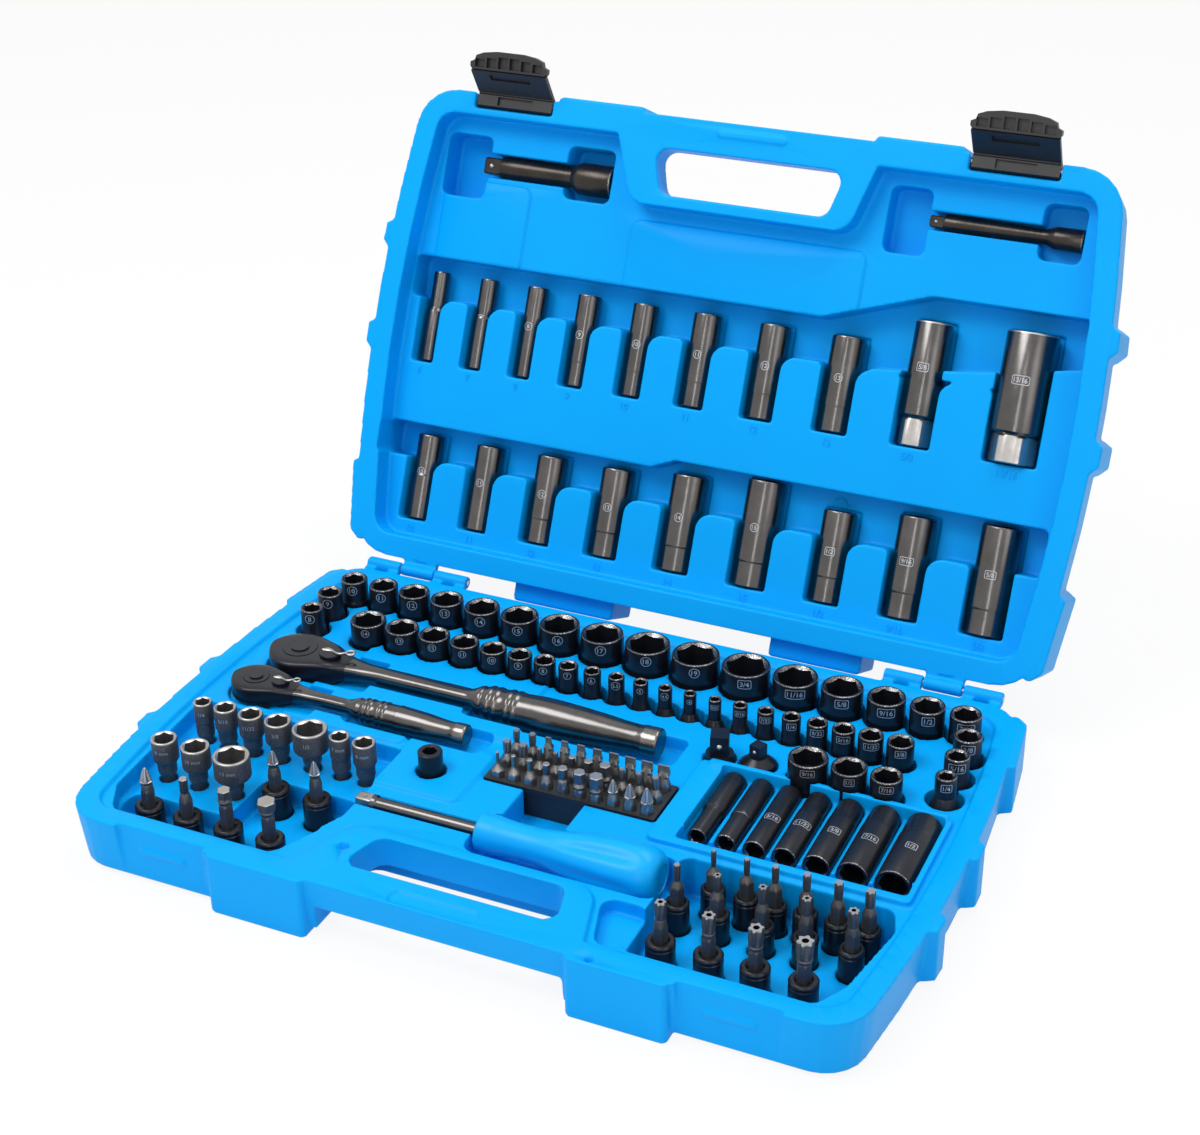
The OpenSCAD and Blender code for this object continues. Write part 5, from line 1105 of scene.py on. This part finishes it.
def bitGroup(side, tips):
    bodies = byRow(solidsOf(f"bit_sockets_{side}", inBase), 10.0)
    tipParts, bodyParts = newParts(), newParts()
    for box, (kind, size, drilled) in zip(bodies, tips):
        middle = centreOf(box)
        radius = (box[1][0] - box[0][0]) / 2
        place = inBase @ spot(middle[0], middle[1], box[0][2])
        turned(bodyParts, bodyRings(radius, 9.53 if radius > 6.5 else 6.35), place)
        lift = standingBits["body"] - standingBits["seat"]
        shank = standingBits["seat"] + (8.5 if kind != "hex" or size < 5.2 else 12.0)
        addBit(tipParts, place @ spot(0, 0, lift), kind, size, standingBits["tip"] - lift, shank, drilled)
    finished(bodyParts, f"bit_sockets_{side}_turned", "base", ["blackOxide"], (f"bit_sockets_{side}",),
             28)
    finished(tipParts, f"bit_tips_{side}_cut", "base", ["darkSteel", "brightSteel", "blackOxide"],
             (f"bit_tips_{side}",), 26)


bitGroup("left", [(kind, size, False) for kind, size in (("cross", 5.8), ("cross", 5.8), ("cross", 6.4),
                                                        ("hex", 4.0), ("hex", 6.0), ("hex", 8.35))])
bitGroup("right", [("star", 2.6 + 0.45 * which, False) for which in range(6)]
         + [("star", 3.4 + 0.5 * which, which > 0) for which in range(5)]
         + [("star", 5.6 + 0.9 * which, True) for which in range(4)])

setters = {"height": 40.0, "low": 19.0, "neck": 4.9, "flats": 6.35, "word": 3.0, "wordDown": 5.6,
           "sizes": [6.35, 7.94, 8.73, 9.53, 12.7, 7, 8, 9, 10, 13],
           "labels": ["1/4", "5/16", "11/32", "3/8", "1/2", "7 mm", "8 mm", "9 mm", "10 mm", "13 mm"]}


def nutsetters():
    parts, letters = newParts(), newParts()
    low, top = setters["low"], setters["height"]
    for box, size, label in zip(byRow(solidsOf("nutsetters", inBase)), setters["sizes"], setters["labels"]):
        middle = centreOf(box)
        place = inBase @ spot(middle[0], middle[1], box[0][2])
        outer = outerOf(size, False) / 2
        corner = size / math.sqrt(3) + 0.2
        neck = min(setters["neck"], outer - 0.2)
        turned(parts, [*hexes((setters["flats"], 0.0), (setters["flats"], low - 0.3)),
            *rounds((neck - 0.9, low), (neck - 0.4, low + 0.5), (neck - 0.2, low + 1.6), (neck, low + 2.0),
            (neck, low + 6.4), (outer - 0.4, low + 8.6), (outer, low + 9.4), (outer, top - 0.7),
            (outer - 0.25, top - 0.15, 1), (outer - 0.45, top, 1),
            (min(corner + 0.25, outer - 0.6), top, 1)), *hexes((size + 0.35, top - 0.2, 1, (corner, 0.6)),
            (size + 0.25, top - 1.6), (size + 0.25, top - 10)),
            *rounds((2.6, top - 10.2, 1), (2.4, top - 9.4, 1))], place, math.pi / 6)
        wrappedWord(letters, label, setters["word"], place, outer, top - setters["wordDown"],
            marks["facing"])
    marked(parts, letters, "nutsetters", "base", ["phosphate", "brightSteel"], "phosphate", 26)


nutsetters()
print("bits and nutsetters made")

# The pieces that keep their own solids
def inBothRatchets(*pieces):
    return [f"ratchet_{which}_{piece}" for which in both for piece in pieces]


coats = {"blackOxide": ["adaptor_up", "adaptor_down", "bit_coupler",
    *inBothRatchets("drive", "button", "cover")], "brightSteel": ["extension_large_ball",
    "extension_small_ball", "adaptor_up_ball", "adaptor_down_ball",
    *inBothRatchets("pawl", "screws", "ball")], "zincSteel": ["hinge_pin_left", "hinge_pin_right",
    "latch_pin_left", "latch_pin_right"],
    "blackPlastic": ["latch_left", "latch_right", "bit_rail", "driver_end_socket"],
    "insertRubber": ["spark_inserts"]}
for coat, owners in coats.items():
    for owner in owners:
        holder = nodes[owner]
        if not holder.data.materials:
            holder.data.materials.append(finishes[coat])
        for at in range(len(holder.material_slots)):
            holder.material_slots[at].material = finishes[coat]

# A pale floor and room that camera, gloss and clear pieces see as white, without more light on the tools
stage = {"reach": 9.0, "paper": (0.9, 0.9, 0.9), "rough": 0.9, "glow": 0.9, "sky": 0.4,
         "lamps": {"keySoftbox": ((-0.75, -0.7, 1.8), (0, 0.05, 0.08), 1.1, 0.8, 22.0),
                   "stripSoftbox": ((0.28, -1.35, 0.95), (0, 0.2, 0.2), 0.13, 1.2, 4.0),
                   "fillSoftbox": ((1.4, -0.7, 1.1), (0, 0.05, 0.1), 0.7, 0.9, 3.0),
                   "topSoftbox": ((0.3, 0.5, 1.8), (0, 0.05, 0.1), 1.1, 0.7, 14.5)}}


def seenStraight(wire):
    rays = ("Is Camera Ray", "Is Glossy Ray", "Is Transmission Ray")
    camera, glossy, through = (wire.node("ShaderNodeLightPath", None, None, ray) for ray in rays)
    return (camera + glossy + through).clamped()


table = bpy.data.meshes.new("floor")
reach = stage["reach"]
table.from_pydata([(-reach, -reach, 0), (reach, -reach, 0), (reach, reach, 0), (-reach, reach, 0)], [],
    [(0, 1, 2, 3)])
held("floor", table)
paper = bpy.data.materials.new("paper")
paper.use_nodes = True
wire = Wire(paper.node_tree)
sheet = paper.node_tree.nodes["Principled BSDF"]
for socket, value in {"Base Color": (*stage["paper"], 1), "Roughness": stage["rough"],
        "Specular IOR Level": 0.0}.items():
    sheet.inputs[socket].default_value = value
glow = wire.node("ShaderNodeEmission", None, {"Color": (1, 1, 1, 1), "Strength": 1.0})
blend = wire.node("ShaderNodeMixShader", None, {0: seenStraight(wire) * stage["glow"],
    1: Wire(paper.node_tree, sheet.outputs[0]), 2: glow})
paper.node_tree.links.new(blend.socket, paper.node_tree.nodes["Material Output"].inputs["Surface"])
table.materials.append(paper)

world = bpy.data.worlds.new("room")
bpy.context.scene.world = world
world.use_nodes = True
background = world.node_tree.nodes["Background"]
background.inputs["Color"].default_value = (1, 1, 1, 1)
strength = seenStraight(Wire(world.node_tree)) * (1 - stage["sky"]) + stage["sky"]
world.node_tree.links.new(strength.socket, background.inputs["Strength"])


def lamp(name, place, aim, wide, tall, power):
    light = bpy.data.lights.new(name, "AREA")
    for setting, value in {"shape": "RECTANGLE", "size": wide, "size_y": tall, "energy": power}.items():
        setattr(light, setting, value)
    holder = held(name, light)
    holder.location = place
    holder.rotation_euler = (Vector(aim) - Vector(place)).to_track_quat("-Z", "Y").to_euler()


for name, (place, aim, wide, tall, power) in stage["lamps"].items():
    lamp(name, place, aim, wide, tall, power)

cameraSizes = {"turn": 23.903643, "lift": 28.652833, "roll": 0.00498025, "distance": 1083.7146,
               "target": (9.82752, 75.785983, 107.597915), "focal": 63.15278, "shiftX": -0.03149826,
               "shiftY": -0.00372075}
turn, lift = math.radians(cameraSizes["turn"]), math.radians(cameraSizes["lift"])
back = Vector((math.sin(turn) * math.cos(lift), -math.cos(turn) * math.cos(lift), math.sin(lift)))
side = Vector((0, 0, 1)).cross(back).normalized()
up = back.cross(side)
rollCos, rollSin = math.cos(cameraSizes["roll"]), math.sin(cameraSizes["roll"])
right = rollCos * side - rollSin * up
upright = rollSin * side + rollCos * up
lens = bpy.data.cameras.new("camera")
for setting, value in {"sensor_fit": "HORIZONTAL", "sensor_width": 36, "lens": cameraSizes["focal"],
        "shift_x": cameraSizes["shiftX"], "shift_y": cameraSizes["shiftY"], "clip_start": 0.05,
        "clip_end": 60}.items():
    setattr(lens, setting, value)
camera = held("camera", lens)
camera.matrix_world = Matrix((right, upright, back)).transposed().to_4x4()
camera.location = (Vector(cameraSizes["target"]) + back * cameraSizes["distance"]) * mm
bpy.context.scene.camera = camera
bpy.context.scene.view_settings.view_transform = "Standard"
print("stage set")
